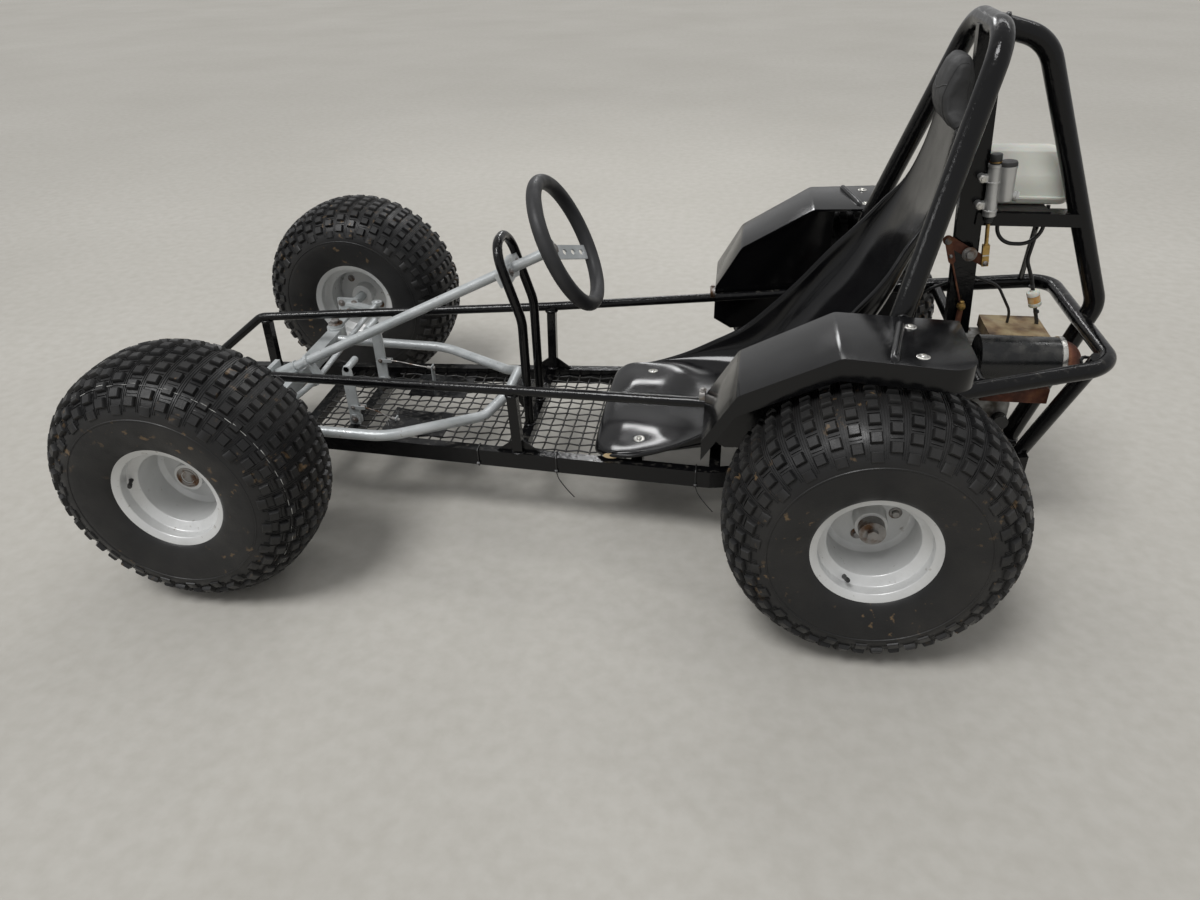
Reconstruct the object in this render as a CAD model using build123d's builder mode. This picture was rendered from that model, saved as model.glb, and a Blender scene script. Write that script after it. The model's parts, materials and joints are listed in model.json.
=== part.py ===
from build123d import *
from math import acos, asin, atan2, cos, radians, sin
import os

# Racing kart: tube frame on four balloon tyres, with a beam front axle, a live
# rear axle and an engine behind the seat. Millimetres. The kart faces -X, its
# left side is -Y, and the origin is on the floor at the middle of its box.
# Stations along the kart are measured back from the rear axle.

# Wheels
WHEELBASE = 1349.0
HALF_TRACK_FRONT = 487.0
HALF_TRACK_REAR = 498.0
TYRE_R = 273.0
TYRE_HALF_WIDTH = 127.0
TYRE_WALL = 9.0
SIDEWALL_R = 180.0
SHOULDER_HALF = 98.0
SHOULDER_DROP = 22.0
BEAD_CLEAR = 3.0
BEAD_IN = 9.0
LUG_HEIGHT = 11.0
LUG_SINK = 3.0
LUG_LENGTH = 46.0
LUG_WIDTH = 28.0
LUG_PITCH = 43.0
LUGS_ROUND = 16
RIM_FLANGE_R = 117.0
RIM_SEAT_R = 101.6
RIM_DROP_R = 84.0
RIM_FACE = 106.0
RIM_LIP = 7.0
RIM_SEAT_WIDTH = 20.0
RIM_STEP = 11.0
RIM_SHEET = 4.0
DISC_OFFSET = -10.0
DISC_BEND = 10.0
HUB_R = 30.0
HUB_INNER = 46.0
FRONT_HUB_OUTER = 30.0
REAR_HUB_OUTER = 28.0

# Running fits and seats
RUNNING_FIT = 0.05
SEAT_GAP = 0.3

# Floor frame: box rails and cross members
LOWER_TOP = 185.0
LOWER_HEIGHT = 40.0
LOWER_WIDTH = 25.0
FRAME_AHEAD = 351.0
LOWER_WAIST = -300.0
LOWER_REAR = 395.0
LOWER_FRONT_HALF = 143.0
LOWER_WAIST_HALF = 240.0
LOWER_REAR_HALF = 100.0
CROSS_WIDTH = 25.0
CROSS_HEIGHT = 25.0
PIVOT_AHEAD = 71.0
MESH_BEHIND = 59.0
PEDALS_BEHIND = 179.0
HOOP_BEHIND = 607.0
SEAT_FRONT_CROSS = -464.0
SEAT_REAR_CROSS = -290.0
ENGINE_CROSS = 150.0
ENGINE_REAR_CROSS = 325.0
REAR_CROSS = 380.0
BOLT_HOLE_R = 4.25
FRONT_BOLT_HALF = 60.0
REAR_BOLT_HALF = 45.0
MESH_WIRE = 4.0
MESH_PITCH = 52.0
HEEL_LENGTH = 150.0
HEEL_WIDTH = 110.0
HEEL_THICK = 4.0
HEEL_BEHIND = 339.0
HEEL_HALF = 95.0

# Upper rails
RAIL_TUBE = 22.0
RAIL_REAR = -28.0
RAIL_MID_BEHIND = 614.0
RAIL_BEND_AHEAD = 166.0
RAIL_REAR_HALF = 310.0
RAIL_MID_HALF = 229.0
RAIL_BEND_HALF = 160.0
RAIL_REAR_Z = 388.0
RAIL_MID_Z = 353.0
RAIL_BEND_Z = 322.0
NOSE_AHEAD = 331.0
NOSE_HALF = 132.0
RAIL_SPLAY_R = 400.0
RAIL_BEND_R = 40.0
NOSE_BEND_R = 35.0
POST_WIDTH = 22.0
FRONT_POST_AHEAD = 151.0
GUSSET_REACH = 52.0
GUSSET_HEIGHT = 30.0
GUSSET_THICK = 4.0

# Steering hoop and column
HOOP_TUBE = 22.0
STEER_HOOP_HALF = 63.0
STEER_HOOP_KNEE_Z = 440.0
STEER_HOOP_TOP_Z = 613.0
STEER_HOOP_LEAN = 52.0
STEER_HOOP_KNEE_R = 120.0
STEER_HOOP_TOP_R = 55.0
BEARING_AHEAD = 37.0
BEARING_LENGTH = 28.0
BEARING_PLATE = 34.0
BEARING_WALL = 10.0
COLUMN_TUBE = 24.0
COLUMN_FOOT_AHEAD = 3.0
COLUMN_FOOT_Z = 265.0
COLUMN_SLOPE = 25.6
COLUMN_LENGTH = 745.0
COLUMN_STUB = 16.0
WHEEL_RING_R = 142.0
WHEEL_GRIP = 33.0
WHEEL_DISH = 42.0
SPOKE_WIDTH = 34.0
SPOKE_THICK = 4.0
DROP_ARM_STATION = 34.0
DROP_ARM_LENGTH = 52.0
DROP_ARM_THICK = 8.0
DROP_ARM_WIDTH = 24.0
FOOT_SOCKET = 8.0
FOOT_CUP_R = 15.0
SPOKE_HUB_R = 34.0
SPOKE_HOLE_R = 7.0
DROP_ARM_BOSS = 6.0
TIE_EYE_GAP = 1.5
TIE_EYE_THICK = 10.0
TIE_EYE_R = 11.0
TIE_EYE_SIDE = 15.0
TIE_BALL_WALL = 6.0
TIE_BALL_INSET = 3.0

# Front axle beam, kingpins and knuckles
KINGPIN_BACK = -14.0
KINGPIN_HALF = 270.0
KINGPIN_HOUSING = 50.0
KINGPIN_HOUSING_LENGTH = 48.0
KINGPIN_PIN = 20.0
BEAM_SIZE = 36.0
BEAM_Z = 228.0
PIVOT_PLATE_THICK = 12.0
PIVOT_PLATE_WIDTH = 64.0
PIVOT_PLATE_RISE = 36.0
PIVOT_PIN_R = 12.0
KNUCKLE_PLATE = 8.0
STUB_AXLE = 25.0
STEER_ARM_LENGTH = 118.0
STEER_ARM_OUT = 32.0
STEER_BALL_Z = 312.0
STEER_ARM_WIDTH = 22.0
STEER_ARM_THICK = 8.0
BALL_R = 8.0
BALL_STUD = 10.0
UPRIGHT_HALF = 345.0
UPRIGHT_WIDTH = 40.0
UPRIGHT_TOP = 305.0
UPRIGHT_LENGTH = 60.0
STUB_END = 24.0
PEDAL_HALF = 100.0
PEDAL_WIDTH = 8.0
PEDAL_THICK = 26.0
PEDAL_BAR = 16.0
PEDAL_FOOT = 55.0
LEFT_PEDAL_LENGTH = 150.0
RIGHT_PEDAL_LENGTH = 185.0
TIE_ROD = 14.0
RADIUS_TUBE = 25.0
RADIUS_HALF = 235.0
RADIUS_BEND_BEHIND = 309.0
RADIUS_APEX_BEHIND = 557.0
RADIUS_APEX_HALF = 60.0
RADIUS_BEND_R = 150.0
RADIUS_APEX_R = 40.0
ARM_BRACKET_HALF = 15.0
RADIUS_APEX_Z = 250.0
RADIUS_DROP = 9.0
RADIUS_NECK = 45.0

# Roll hoop, rear loop, stay and strut
HOOP_MAIN_TUBE = 42.0
HOOP_FOOT = -12.0
HOOP_FOOT_HALF = 318.0
HOOP_KNEE = 43.0
HOOP_KNEE_HALF = 278.0
HOOP_KNEE_Z = 600.0
HOOP_TOP = 165.0
HOOP_TOP_HALF = 124.0
HOOP_TOP_Z = 1043.0
HOOP_KNEE_R = 300.0
HOOP_TOP_R = 85.0
LOOP_TUBE = 33.0
LOOP_CORNER_R = 65.0
LOOP_REAR = 460.0
LOOP_REAR_HALF = 224.0
LOOP_REAR_Z = 469.0
LOOP_FRONT_Z = 391.0
LOOP_FRONT_HALF = 310.0
STAY_TUBE = 40.0
STAY_BEND = 270.0
STAY_BEND_Z = 1015.0
STAY_KNEE = 484.0
STAY_KNEE_Z = 505.0
STAY_KNEE_R = 60.0
STAY_TOP_R = 85.0
STRUT_TUBE = 32.0
STRUT_FOOT_IN = 20.0
STRUT_HEAD_IN = 30.0
SEAT_POST_WIDTH = 48.0
SEAT_POST_THICK = 25.0
POST_FOOT = 215.0
LOOP_CROSS_TUBE = 25.0
ENGINE_STAY_WIDTH = 30.0
ENGINE_STAY_THICK = 25.0
TANK_BAR_Z = 685.0
TANK_BAR_HEIGHT = 26.0
TANK_BAR_WIDTH = 40.0
TANK_BAR_FRONT = 205.0
TANK_BAR_REAR = 410.0
BRACE_TUBE = 12.0
BRACE_HEAD = 329.0
BRACE_FOOT = 399.0
SUPPORT_Z = 580.7
SUPPORT_TUBE = 20.0
SUPPORT_REACH = 500.0

# Rear axle
AXLE_D = 30.0
CARRIER_THICK = 14.0
CARRIER_RISE = 42.0
SPROCKET_R = 85.0
SPROCKET_THICK = 6.0
SPROCKET_SIDE = 95.0
SPROCKET_TEETH = 36
SPROCKET_WINDOW_R = 15.0
DISC_R = 82.0
DISC_THICK = 5.0
DISC_SIDE = -95.0
DISC_HOLE_R = 5.0
FLANGE_R = 28.0
FLANGE_LENGTH = 30.0
END_COLLAR_R = 24.0
END_COLLAR_LENGTH = 22.0
END_BOLT_R = 11.0
END_BOLT_LENGTH = 8.0

# Chain drive and brake caliper
CHAIN_WIDTH = 11.0
CHAIN_PLATE = 2.0
CHAIN_THICK = 10.0
CHAIN_GAP = 0.6
CHAIN_ROLLER = 6.0
TOOTH_DEPTH = 5.0
TOOTH_WIDTH = 10.0
TOOTH_SLOPE = 70.0
ENGINE_TEETH = 12
ENGINE_SHAFT_R = 11.0
ENGINE_SHAFT = 225.0
ENGINE_SHAFT_Z = 255.0
ENGINE_SPROCKET_R = 30.0
CALIPER_LENGTH = 50.0
CALIPER_WIDTH = 46.0
CALIPER_LOW = 50.0
CALIPER_HIGH = 96.0
CALIPER_ARM = 24.0
CALIPER_ARM_THICK = 8.0
CALIPER_ARM_DROP = 20.0
DISC_GAP = 2.0

# Engine group
ENGINE_PLATE_THICK = 6.0
ENGINE_PLATE_HALF = 88.0
CASE_ROUNDING = 18.0
CASE_FRONT = 165.0
CASE_REAR = 340.0
CASE_LEFT = 80.0
CASE_RIGHT = 75.0
CASE_TOP = 312.0
CYLINDER_FRONT = 238.0
CYLINDER_REAR = 345.0
CYLINDER_HALF = 55.0
CYLINDER_TOP = 416.0
FIN_PITCH = 13.0
FIN_THICK = 4.0
FIN_REACH = 12.0
COVER_R = 60.0
COVER_DROP = 8.0
COVER_TAPER = 12.0
COVER_STATION = 236.0
COVER_DEPTH = 22.0
OIL_CAP_R = 16.0
OIL_CAP_STATION = 322.0
OIL_CAP_Z = 262.0
MUFFLER_D = 96.0
MUFFLER_FRONT = 235.0
MUFFLER_REAR = 398.0
MUFFLER_DOME = 40.0
MUFFLER_DOME_D = 84.0
MUFFLER_BAND = 8.0
MUFFLER_BAND_OUT = 1.5
MUFFLER_SIDE = -118.0
MUFFLER_Z = 425.0
BRACKET_FRONT = 262.0
BRACKET_LUG = 36.0
BRACKET_LUG_THICK = 20.0
BRACKET_LUG_STATION = 302.0
BRACKET_Z = 340.0
BRACKET_HEIGHT = 34.0
GUARD_FRONT = 276.0
GUARD_REAR = 400.0
GUARD_LEFT = 50.0
GUARD_RIGHT = 68.0
GUARD_HEIGHT = 26.0
GUARD_SHEET = 2.0
GUARD_HOLES = 9
GUARD_HOLE_WIDTH = 6.0
GUARD_HOLE_HEIGHT = 9.0

# Tank, master cylinder and the throttle's bell crank
TRAY_THICK = 3.0
TRAY_LENGTH = 120.0
TRAY_OVERHANG = 80.0
TRAY_LEFT = 14.0
TANK_FRONT = 150.0
TANK_REAR = 398.0
TANK_LEFT = 24.0
TANK_RIGHT = 152.0
TANK_WAIST_Z = 758.0
TANK_TOP_Z = 805.0
TANK_STEP = 9.0
TANK_CORNER_R = 20.0
TANK_EDGE_R = 6.0
TANK_CAP_R = 22.0
TANK_CAP_HEIGHT = 18.0
TANK_CAP_STATION = 200.0
MASTER_R = 13.0
MASTER_LOW_Z = 694.0
MASTER_HIGH_Z = 800.0
MASTER_BEHIND = 32.0
MASTER_GAP = 2.0
RESERVOIR_R = 17.0
RESERVOIR_BEHIND = 24.0
MASTER_LUG_LENGTH = 40.0
MASTER_LUG_HEIGHT = 16.0
MASTER_LUG_THICK = 12.0
MASTER_LUG_IN = 9.0
BOOT_R = 8.0
BOOT_LENGTH = 16.0
CRANK_THICK = 4.0
CRANK_WIDTH = 20.0
CRANK_GAP = 6.0
CRANK_FRONT = 158.0
CRANK_FRONT_Z = 640.0
CRANK_PIVOT = 203.0
CRANK_PIVOT_Z = 615.0
CRANK_REAR = 236.0
CRANK_REAR_Z = 598.0
CRANK_BOLT_R = 8.0
PULL_LINK_DROP = 41.0
PULL_LINK_WIDTH = 14.0
ROD_R = 4.0
CLEVIS_SIZE = 13.0
CLEVIS_LENGTH = 44.0
PULL_WIRE = 4.0
PULL_STOP_R = 6.0
PULL_STOP_Z = 497.0
HOSE_D = 8.0
HOSE_SIDE = 30.0
HOSE_CLEAR = 0.5
HOSE_LOOP_R = 40.0
HOSE_BEND_R = 16.0
HOSE_FRONT = 262.0
HOSE_REAR = 352.0
HOSE_LOW_Z = 619.0
HOSE_BRANCH = 341.0
HOSE_BRANCH_Z = 631.0
HOSE_SAG = 337.0
HOSE_SAG_Z = 584.0
FILTER_D = 28.0
FILTER_STATION = 364.0
FILTER_LOW = 376.0
FILTER_Z = 517.0
FILTER_LOW_Z = 481.0
CABLE_D = 6.0
CABLE_SIDE = 30.0
CABLE_BEND_R = 45.0
CABLE_FRONT = 131.0
CABLE_FRONT_Z = 505.0
CABLE_CREST = 228.0
CABLE_CREST_Z = 548.0
CABLE_REAR = 290.0
CABLE_REAR_Z = 528.0
CABLE_FOOT = 327.0
CABLE_STOP = 13.0

# Seat and fenders
SEAT_WALL = 8.0
SEAT_FRONT = -560.0
SEAT_TOP = 138.0
SEAT_EDGE_IN = 10.0
SEAT_CORNER_R = 55.0
SEAT_ROUND_R = 28.0
SEAT_BELOW_HOOP = 148.0
SEAT_HIP_RISE = 105.0
SEAT_LUMBAR_RISE = 285.0
PAD_HEIGHT = 105.0
PAD_HALF = 75.0
PAD_BULGE = 20.0
PAD_LEAN = 14.0
PAD_FOOT = 28.0
PAD_THICK = 36.0
FENDER_SHEET = 6.0
FENDER_FRONT = -316.0
FENDER_FRONT_Z = 398.0
FENDER_BROW = -255.0
FENDER_BROW_Z = 502.0
FENDER_CREST = -87.0
FENDER_TOP_Z = 597.0
FENDER_REAR = 130.0
FENDER_OUTER_FRONT = 462.0
FENDER_OUTER_REAR = 535.0
FENDER_INNER_REAR = 330.0
FENDER_FOLD_R = 24.0
FENDER_CORNER_R = 45.0
SKIRT_DEPTH = 42.0
FENDER_WALL_REAR = -35.0
FENDER_WALL_REAR_Z = 360.0
FENDER_WALL_HEEL = -100.0
FENDER_WALL_HEEL_Z = 300.0
FENDER_WALL_TOE = -272.0
FENDER_WALL_TOE_Z = 283.0
FENDER_CHIN_Z = 311.0

# Stations of the front group, which stands where the front axle does
LOWER_FRONT = -WHEELBASE - FRAME_AHEAD
NOSE_STATION = -WHEELBASE - NOSE_AHEAD
RAIL_BEND = -WHEELBASE - RAIL_BEND_AHEAD
FRONT_POST = -WHEELBASE - FRONT_POST_AHEAD
PIVOT_CROSS = -WHEELBASE - PIVOT_AHEAD
COLUMN_FOOT = -WHEELBASE - COLUMN_FOOT_AHEAD
MESH_CROSS = -WHEELBASE + MESH_BEHIND
PEDAL_CROSS = -WHEELBASE + PEDALS_BEHIND
RADIUS_BEND = -WHEELBASE + RADIUS_BEND_BEHIND
HEEL_STATION = -WHEELBASE + HEEL_BEHIND
RADIUS_APEX = -WHEELBASE + RADIUS_APEX_BEHIND
HOOP_CROSS = -WHEELBASE + HOOP_BEHIND
RAIL_MID = -WHEELBASE + RAIL_MID_BEHIND

LOWER_BOTTOM = LOWER_TOP - LOWER_HEIGHT
CROSS_TOP = LOWER_BOTTOM + CROSS_HEIGHT
SEAT_HALF = LOWER_WAIST_HALF - SEAT_EDGE_IN
SEAT_TOP_Z = HOOP_TOP_Z - SEAT_BELOW_HOOP

# The kart's ends: rails and nose in front, and the outside of the stay's knee behind
UPPER_SLOPE = atan2(STAY_BEND_Z - STAY_KNEE_Z, STAY_KNEE - STAY_BEND)
LOWER_SLOPE = atan2(STAY_KNEE_Z - CROSS_TOP, STAY_KNEE - REAR_CROSS)
KNEE_CUT = STAY_KNEE_R * (cos((UPPER_SLOPE - LOWER_SLOPE) / 2) / sin((UPPER_SLOPE + LOWER_SLOPE) / 2) - 1)
REAR_REACH = max(TYRE_R, LOOP_REAR + LOOP_TUBE / 2, STAY_KNEE - KNEE_CUT + STAY_TUBE / 2)
FRONT_REACH = max(WHEELBASE + TYRE_R, -LOWER_FRONT, -NOSE_STATION + RAIL_TUBE / 2)
AXLE_X = (FRONT_REACH - REAR_REACH) / 2
WHEEL_Z = TYRE_R
KINGPIN_STATION = -WHEELBASE + KINGPIN_BACK

os.makedirs("parts", exist_ok=True)


def at(back, side, up):
    """A point, with its station measured back from the rear axle."""
    return Vector(AXLE_X + back, side, up)


def profile(back, up):
    """The same point in a side view, for sketches that lie along the kart."""
    return (AXLE_X + back, up)


def between(stations, values, x):
    """Value at station x on straight runs between a few stations."""
    for low in range(len(stations) - 1):
        last = low == len(stations) - 2
        if x <= stations[low + 1] or last:
            share = (x - stations[low]) / (stations[low + 1] - stations[low])
            return values[low] + share * (values[low + 1] - values[low])


LOWER_STATIONS = [LOWER_FRONT, LOWER_WAIST, LOWER_REAR]
LOWER_HALVES = [LOWER_FRONT_HALF, LOWER_WAIST_HALF, LOWER_REAR_HALF]
RAIL_STATIONS = [RAIL_BEND, RAIL_MID, RAIL_REAR]
RAIL_HALVES = [RAIL_BEND_HALF, RAIL_MID_HALF, RAIL_REAR_HALF]
RAIL_HEIGHTS = [RAIL_BEND_Z, RAIL_MID_Z, RAIL_REAR_Z]


def lower_half(x):
    return between(LOWER_STATIONS, LOWER_HALVES, x)


def tube(points, bends, diameter):
    """A round bar along straight runs joined by arcs, made in the open part."""
    with BuildLine() as path:
        if bends:
            FilletPolyline(*points, radius=bends)
        else:
            Line(points[0], points[-1])
    with BuildSketch(Plane(origin=path.line @ 0, z_dir=path.line % 0)) as section:
        Circle(diameter / 2)
    sweep(section.sketch, path=path.line)


def save(part, name):
    part.label = name
    export_step(part, f"parts/{name}.step")


# Floor frame

with BuildPart() as floor_rails:
    with BuildSketch(Plane.XY.offset(LOWER_BOTTOM)):
        with BuildLine():
            path_stations = (LOWER_FRONT - LOWER_WIDTH, LOWER_WAIST, LOWER_REAR + LOWER_WIDTH)
            Polyline(*[(AXLE_X + x, -lower_half(x)) for x in path_stations])
        trace(line_width=LOWER_WIDTH)
    extrude(amount=LOWER_HEIGHT)
    mirror(about=Plane.XZ)
    with Locations(at((LOWER_FRONT + LOWER_REAR) / 2, 0, LOWER_TOP)):
        Box(LOWER_REAR - LOWER_FRONT, 4 * LOWER_WAIST_HALF, 4 * LOWER_HEIGHT, mode=Mode.INTERSECT)
save(floor_rails.part, "floor_rails")

# Station and top of each cross member
CROSS_MEMBERS = [(LOWER_FRONT + CROSS_WIDTH, LOWER_TOP), (PIVOT_CROSS, CROSS_TOP),
                 (MESH_CROSS, CROSS_TOP), (PEDAL_CROSS, CROSS_TOP), (HOOP_CROSS, CROSS_TOP),
                 (SEAT_FRONT_CROSS, LOWER_TOP), (SEAT_REAR_CROSS, LOWER_TOP), (ENGINE_CROSS, CROSS_TOP),
                 (ENGINE_REAR_CROSS, CROSS_TOP), (REAR_CROSS, CROSS_TOP)]

with BuildPart() as floor_cross_members:
    for x, top in CROSS_MEMBERS:
        with Locations(at(x, 0, top - CROSS_HEIGHT / 2)):
            Box(CROSS_WIDTH, 2 * lower_half(x), CROSS_HEIGHT)
    add(floor_rails.part, mode=Mode.SUBTRACT)
    for x, half in ((LOWER_FRONT + CROSS_WIDTH, FRONT_BOLT_HALF), (REAR_CROSS, REAR_BOLT_HALF)):
        top = LOWER_TOP if x < 0 else CROSS_TOP
        with Locations(at(x, half, top - CROSS_HEIGHT / 2), at(x, -half, top - CROSS_HEIGHT / 2)):
            Cylinder(BOLT_HOLE_R, CROSS_WIDTH, rotation=(0, 90, 0), mode=Mode.SUBTRACT)
save(floor_cross_members.part, "floor_cross_members")

# Floor mesh: wires along the kart under wires across it, flush with the members
MESH_PANELS = [(MESH_CROSS, PEDAL_CROSS), (PEDAL_CROSS, HOOP_CROSS), (HOOP_CROSS, SEAT_FRONT_CROSS)]
CROSS_WIRE_Z = CROSS_TOP - MESH_WIRE / 2
LONG_WIRE_Z = CROSS_WIRE_Z - MESH_WIRE

with BuildPart() as mesh_long_wires:
    for front, rear in MESH_PANELS:
        length = rear - front - CROSS_WIDTH
        rows = int((lower_half(front) - LOWER_WIDTH) / MESH_PITCH)
        for row in range(-rows, rows + 1):
            with Locations(at((front + rear) / 2, row * MESH_PITCH, LONG_WIRE_Z)):
                Box(length, MESH_WIRE, MESH_WIRE)
save(mesh_long_wires.part, "mesh_long_wires")

with BuildPart() as mesh_cross_wires:
    for front, rear in MESH_PANELS:
        length = rear - front - CROSS_WIDTH
        count = int(length / MESH_PITCH)
        for step in range(count):
            x = front + CROSS_WIDTH / 2 + (step + 0.5) * length / count
            with Locations(at(x, 0, CROSS_WIRE_Z)):
                Box(MESH_WIRE, 2 * lower_half(x), MESH_WIRE)
    add(floor_rails.part, mode=Mode.SUBTRACT)
save(mesh_cross_wires.part, "mesh_cross_wires")

with BuildPart() as heel_plates:
    for side in (-1, 1):
        with Locations(at(HEEL_STATION, side * HEEL_HALF, CROSS_TOP + HEEL_THICK / 2)):
            Box(HEEL_LENGTH, HEEL_WIDTH, HEEL_THICK)
save(heel_plates.part, "heel_plates")

# Rear loop, and the upper rails in one piece round the nose

LOOP_FRONT = RAIL_REAR
loop_side = [at(LOOP_FRONT, -LOOP_FRONT_HALF, LOOP_FRONT_Z), at(LOOP_REAR, -LOOP_REAR_HALF, LOOP_REAR_Z)]
with BuildPart() as rear_loop:
    far_side = [Vector(p.X, -p.Y, p.Z) for p in loop_side]
    tube(loop_side + far_side[::-1], [LOOP_CORNER_R, LOOP_CORNER_R], LOOP_TUBE)
save(rear_loop.part, "rear_loop")

NOSE_Z = LOWER_TOP + RAIL_TUBE / 2
side_points = [at(RAIL_REAR, RAIL_REAR_HALF, RAIL_REAR_Z), at(RAIL_MID, RAIL_MID_HALF, RAIL_MID_Z),
               at(RAIL_BEND, RAIL_BEND_HALF, RAIL_BEND_Z), at(NOSE_STATION, NOSE_HALF, NOSE_Z)]

with BuildPart() as upper_rails:
    left_points = [Vector(p.X, -p.Y, p.Z) for p in side_points]
    side_bends = [RAIL_SPLAY_R, RAIL_BEND_R, NOSE_BEND_R]
    tube(left_points + side_points[::-1], side_bends + side_bends[::-1], RAIL_TUBE)
    add(rear_loop.part, mode=Mode.SUBTRACT)
save(upper_rails.part, "upper_rails")

with BuildPart() as rail_posts:
    for station in (FRONT_POST, RAIL_MID):
        low_half = lower_half(station)
        high_half = between(RAIL_STATIONS, RAIL_HALVES, station)
        high_z = between(RAIL_STATIONS, RAIL_HEIGHTS, station)
        foot = at(station, -low_half, LOWER_TOP)
        head = at(station, -high_half, high_z)
        with BuildSketch(Plane(origin=foot, x_dir=(1, 0, 0), z_dir=head - foot)):
            Rectangle(POST_WIDTH, POST_WIDTH)
        extrude(amount=(head - foot).length)
    with BuildSketch(Plane.XZ.offset(lower_half(RAIL_MID) - GUSSET_THICK / 2)):
        with BuildLine():
            Polyline(profile(RAIL_MID - GUSSET_REACH, LOWER_TOP - 1),
                     profile(RAIL_MID - POST_WIDTH / 2, LOWER_TOP + GUSSET_HEIGHT),
                     profile(RAIL_MID + POST_WIDTH / 2, LOWER_TOP + GUSSET_HEIGHT),
                     profile(RAIL_MID + GUSSET_REACH, LOWER_TOP - 1), close=True)
        make_face()
    extrude(amount=GUSSET_THICK)
    mirror(about=Plane.XZ)
    add(upper_rails.part, mode=Mode.SUBTRACT)
    add(floor_rails.part, mode=Mode.SUBTRACT)
save(rail_posts.part, "rail_posts")

# Steering hoop and its bearing

COLUMN_DIR = Vector(cos(radians(COLUMN_SLOPE)), 0, sin(radians(COLUMN_SLOPE)))
COLUMN_DOWN = Vector(sin(radians(COLUMN_SLOPE)), 0, -cos(radians(COLUMN_SLOPE)))
COLUMN_END = at(COLUMN_FOOT, 0, COLUMN_FOOT_Z)


def on_column(along, below=0.0, side=0.0):
    return COLUMN_END + COLUMN_DIR * along + COLUMN_DOWN * below + Vector(0, side, 0)


with BuildPart() as steering_hoop:
    leg = [at(HOOP_CROSS, -STEER_HOOP_HALF, CROSS_TOP), at(HOOP_CROSS, -STEER_HOOP_HALF, STEER_HOOP_KNEE_Z),
           at(HOOP_CROSS - STEER_HOOP_LEAN, -STEER_HOOP_HALF, STEER_HOOP_TOP_Z)]
    far_leg = [Vector(p.X, -p.Y, p.Z) for p in leg]
    bends = [STEER_HOOP_KNEE_R, STEER_HOOP_TOP_R, STEER_HOOP_TOP_R, STEER_HOOP_KNEE_R]
    tube(leg + far_leg[::-1], bends, HOOP_TUBE)
save(steering_hoop.part, "steering_hoop")

BEARING_ALONG = (HOOP_CROSS - BEARING_AHEAD - COLUMN_FOOT) / cos(radians(COLUMN_SLOPE))
with BuildPart() as column_bearing:
    bearing_start = on_column(BEARING_ALONG - BEARING_LENGTH / 2)
    with BuildSketch(Plane(origin=bearing_start, x_dir=(0, 1, 0), z_dir=COLUMN_DIR)):
        Rectangle(2 * STEER_HOOP_HALF, BEARING_PLATE)
        Circle(COLUMN_TUBE / 2 + BEARING_WALL)
        Circle(COLUMN_TUBE / 2 + RUNNING_FIT, mode=Mode.SUBTRACT)
    extrude(amount=BEARING_LENGTH)
    add(steering_hoop.part, mode=Mode.SUBTRACT)
    keep = column_bearing.part.solids().sort_by(lambda s: s.volume)[-1]
save(keep, "column_bearing")

# Front beam, its pivot bracket and the radius arm

with BuildPart() as front_beam:
    with Locations(at(KINGPIN_STATION, 0, BEAM_Z)):
        Box(BEAM_SIZE, 2 * KINGPIN_HALF, BEAM_SIZE)
    for side in (-1, 1):
        with Locations(at(KINGPIN_STATION, side * KINGPIN_HALF, BEAM_Z)):
            Cylinder(KINGPIN_HOUSING / 2, KINGPIN_HOUSING_LENGTH)
            Cylinder(KINGPIN_PIN / 2 + RUNNING_FIT, KINGPIN_HOUSING_LENGTH, mode=Mode.SUBTRACT)
save(front_beam.part, "front_beam")

with BuildPart() as beam_pivot:
    plate_height = BEAM_Z + PIVOT_PLATE_RISE - CROSS_TOP
    with Locations(at(PIVOT_CROSS, 0, CROSS_TOP + plate_height / 2)):
        Box(PIVOT_PLATE_THICK, PIVOT_PLATE_WIDTH, plate_height)
    with BuildSketch(Plane(origin=at(PIVOT_CROSS, 0, BEAM_Z), z_dir=(1, 0, 0))):
        Circle(PIVOT_PIN_R)
    extrude(amount=KINGPIN_STATION - BEAM_SIZE / 2 - PIVOT_CROSS)
    with BuildSketch(Plane(origin=on_column(-FOOT_SOCKET), z_dir=COLUMN_DIR * -1)):
        Circle(FOOT_CUP_R)
    extrude(until=Until.NEXT)
    with BuildSketch(Plane(origin=on_column(-FOOT_SOCKET), z_dir=COLUMN_DIR)):
        Circle(FOOT_CUP_R)
        Circle(COLUMN_STUB / 2 + RUNNING_FIT, mode=Mode.SUBTRACT)
    extrude(amount=FOOT_SOCKET)
    add(front_beam.part, mode=Mode.SUBTRACT)
save(beam_pivot.part, "beam_pivot")

with BuildPart() as radius_arm:
    leg = [at(KINGPIN_STATION + BEAM_SIZE / 2, -RADIUS_HALF, BEAM_Z),
           at(RADIUS_BEND, -RADIUS_HALF, BEAM_Z - RADIUS_DROP),
           at(RADIUS_APEX - RADIUS_NECK, -2 * RADIUS_APEX_HALF, BEAM_Z - RADIUS_DROP),
           at(RADIUS_APEX, -RADIUS_APEX_HALF, RADIUS_APEX_Z)]
    far_leg = [Vector(p.X, -p.Y, p.Z) for p in leg]
    bends = [RADIUS_BEND_R, RADIUS_APEX_R, RADIUS_TUBE]
    tube(leg + far_leg[::-1], bends + bends[::-1], RADIUS_TUBE)
    add(front_beam.part, mode=Mode.SUBTRACT)
save(radius_arm.part, "radius_arm")

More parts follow.
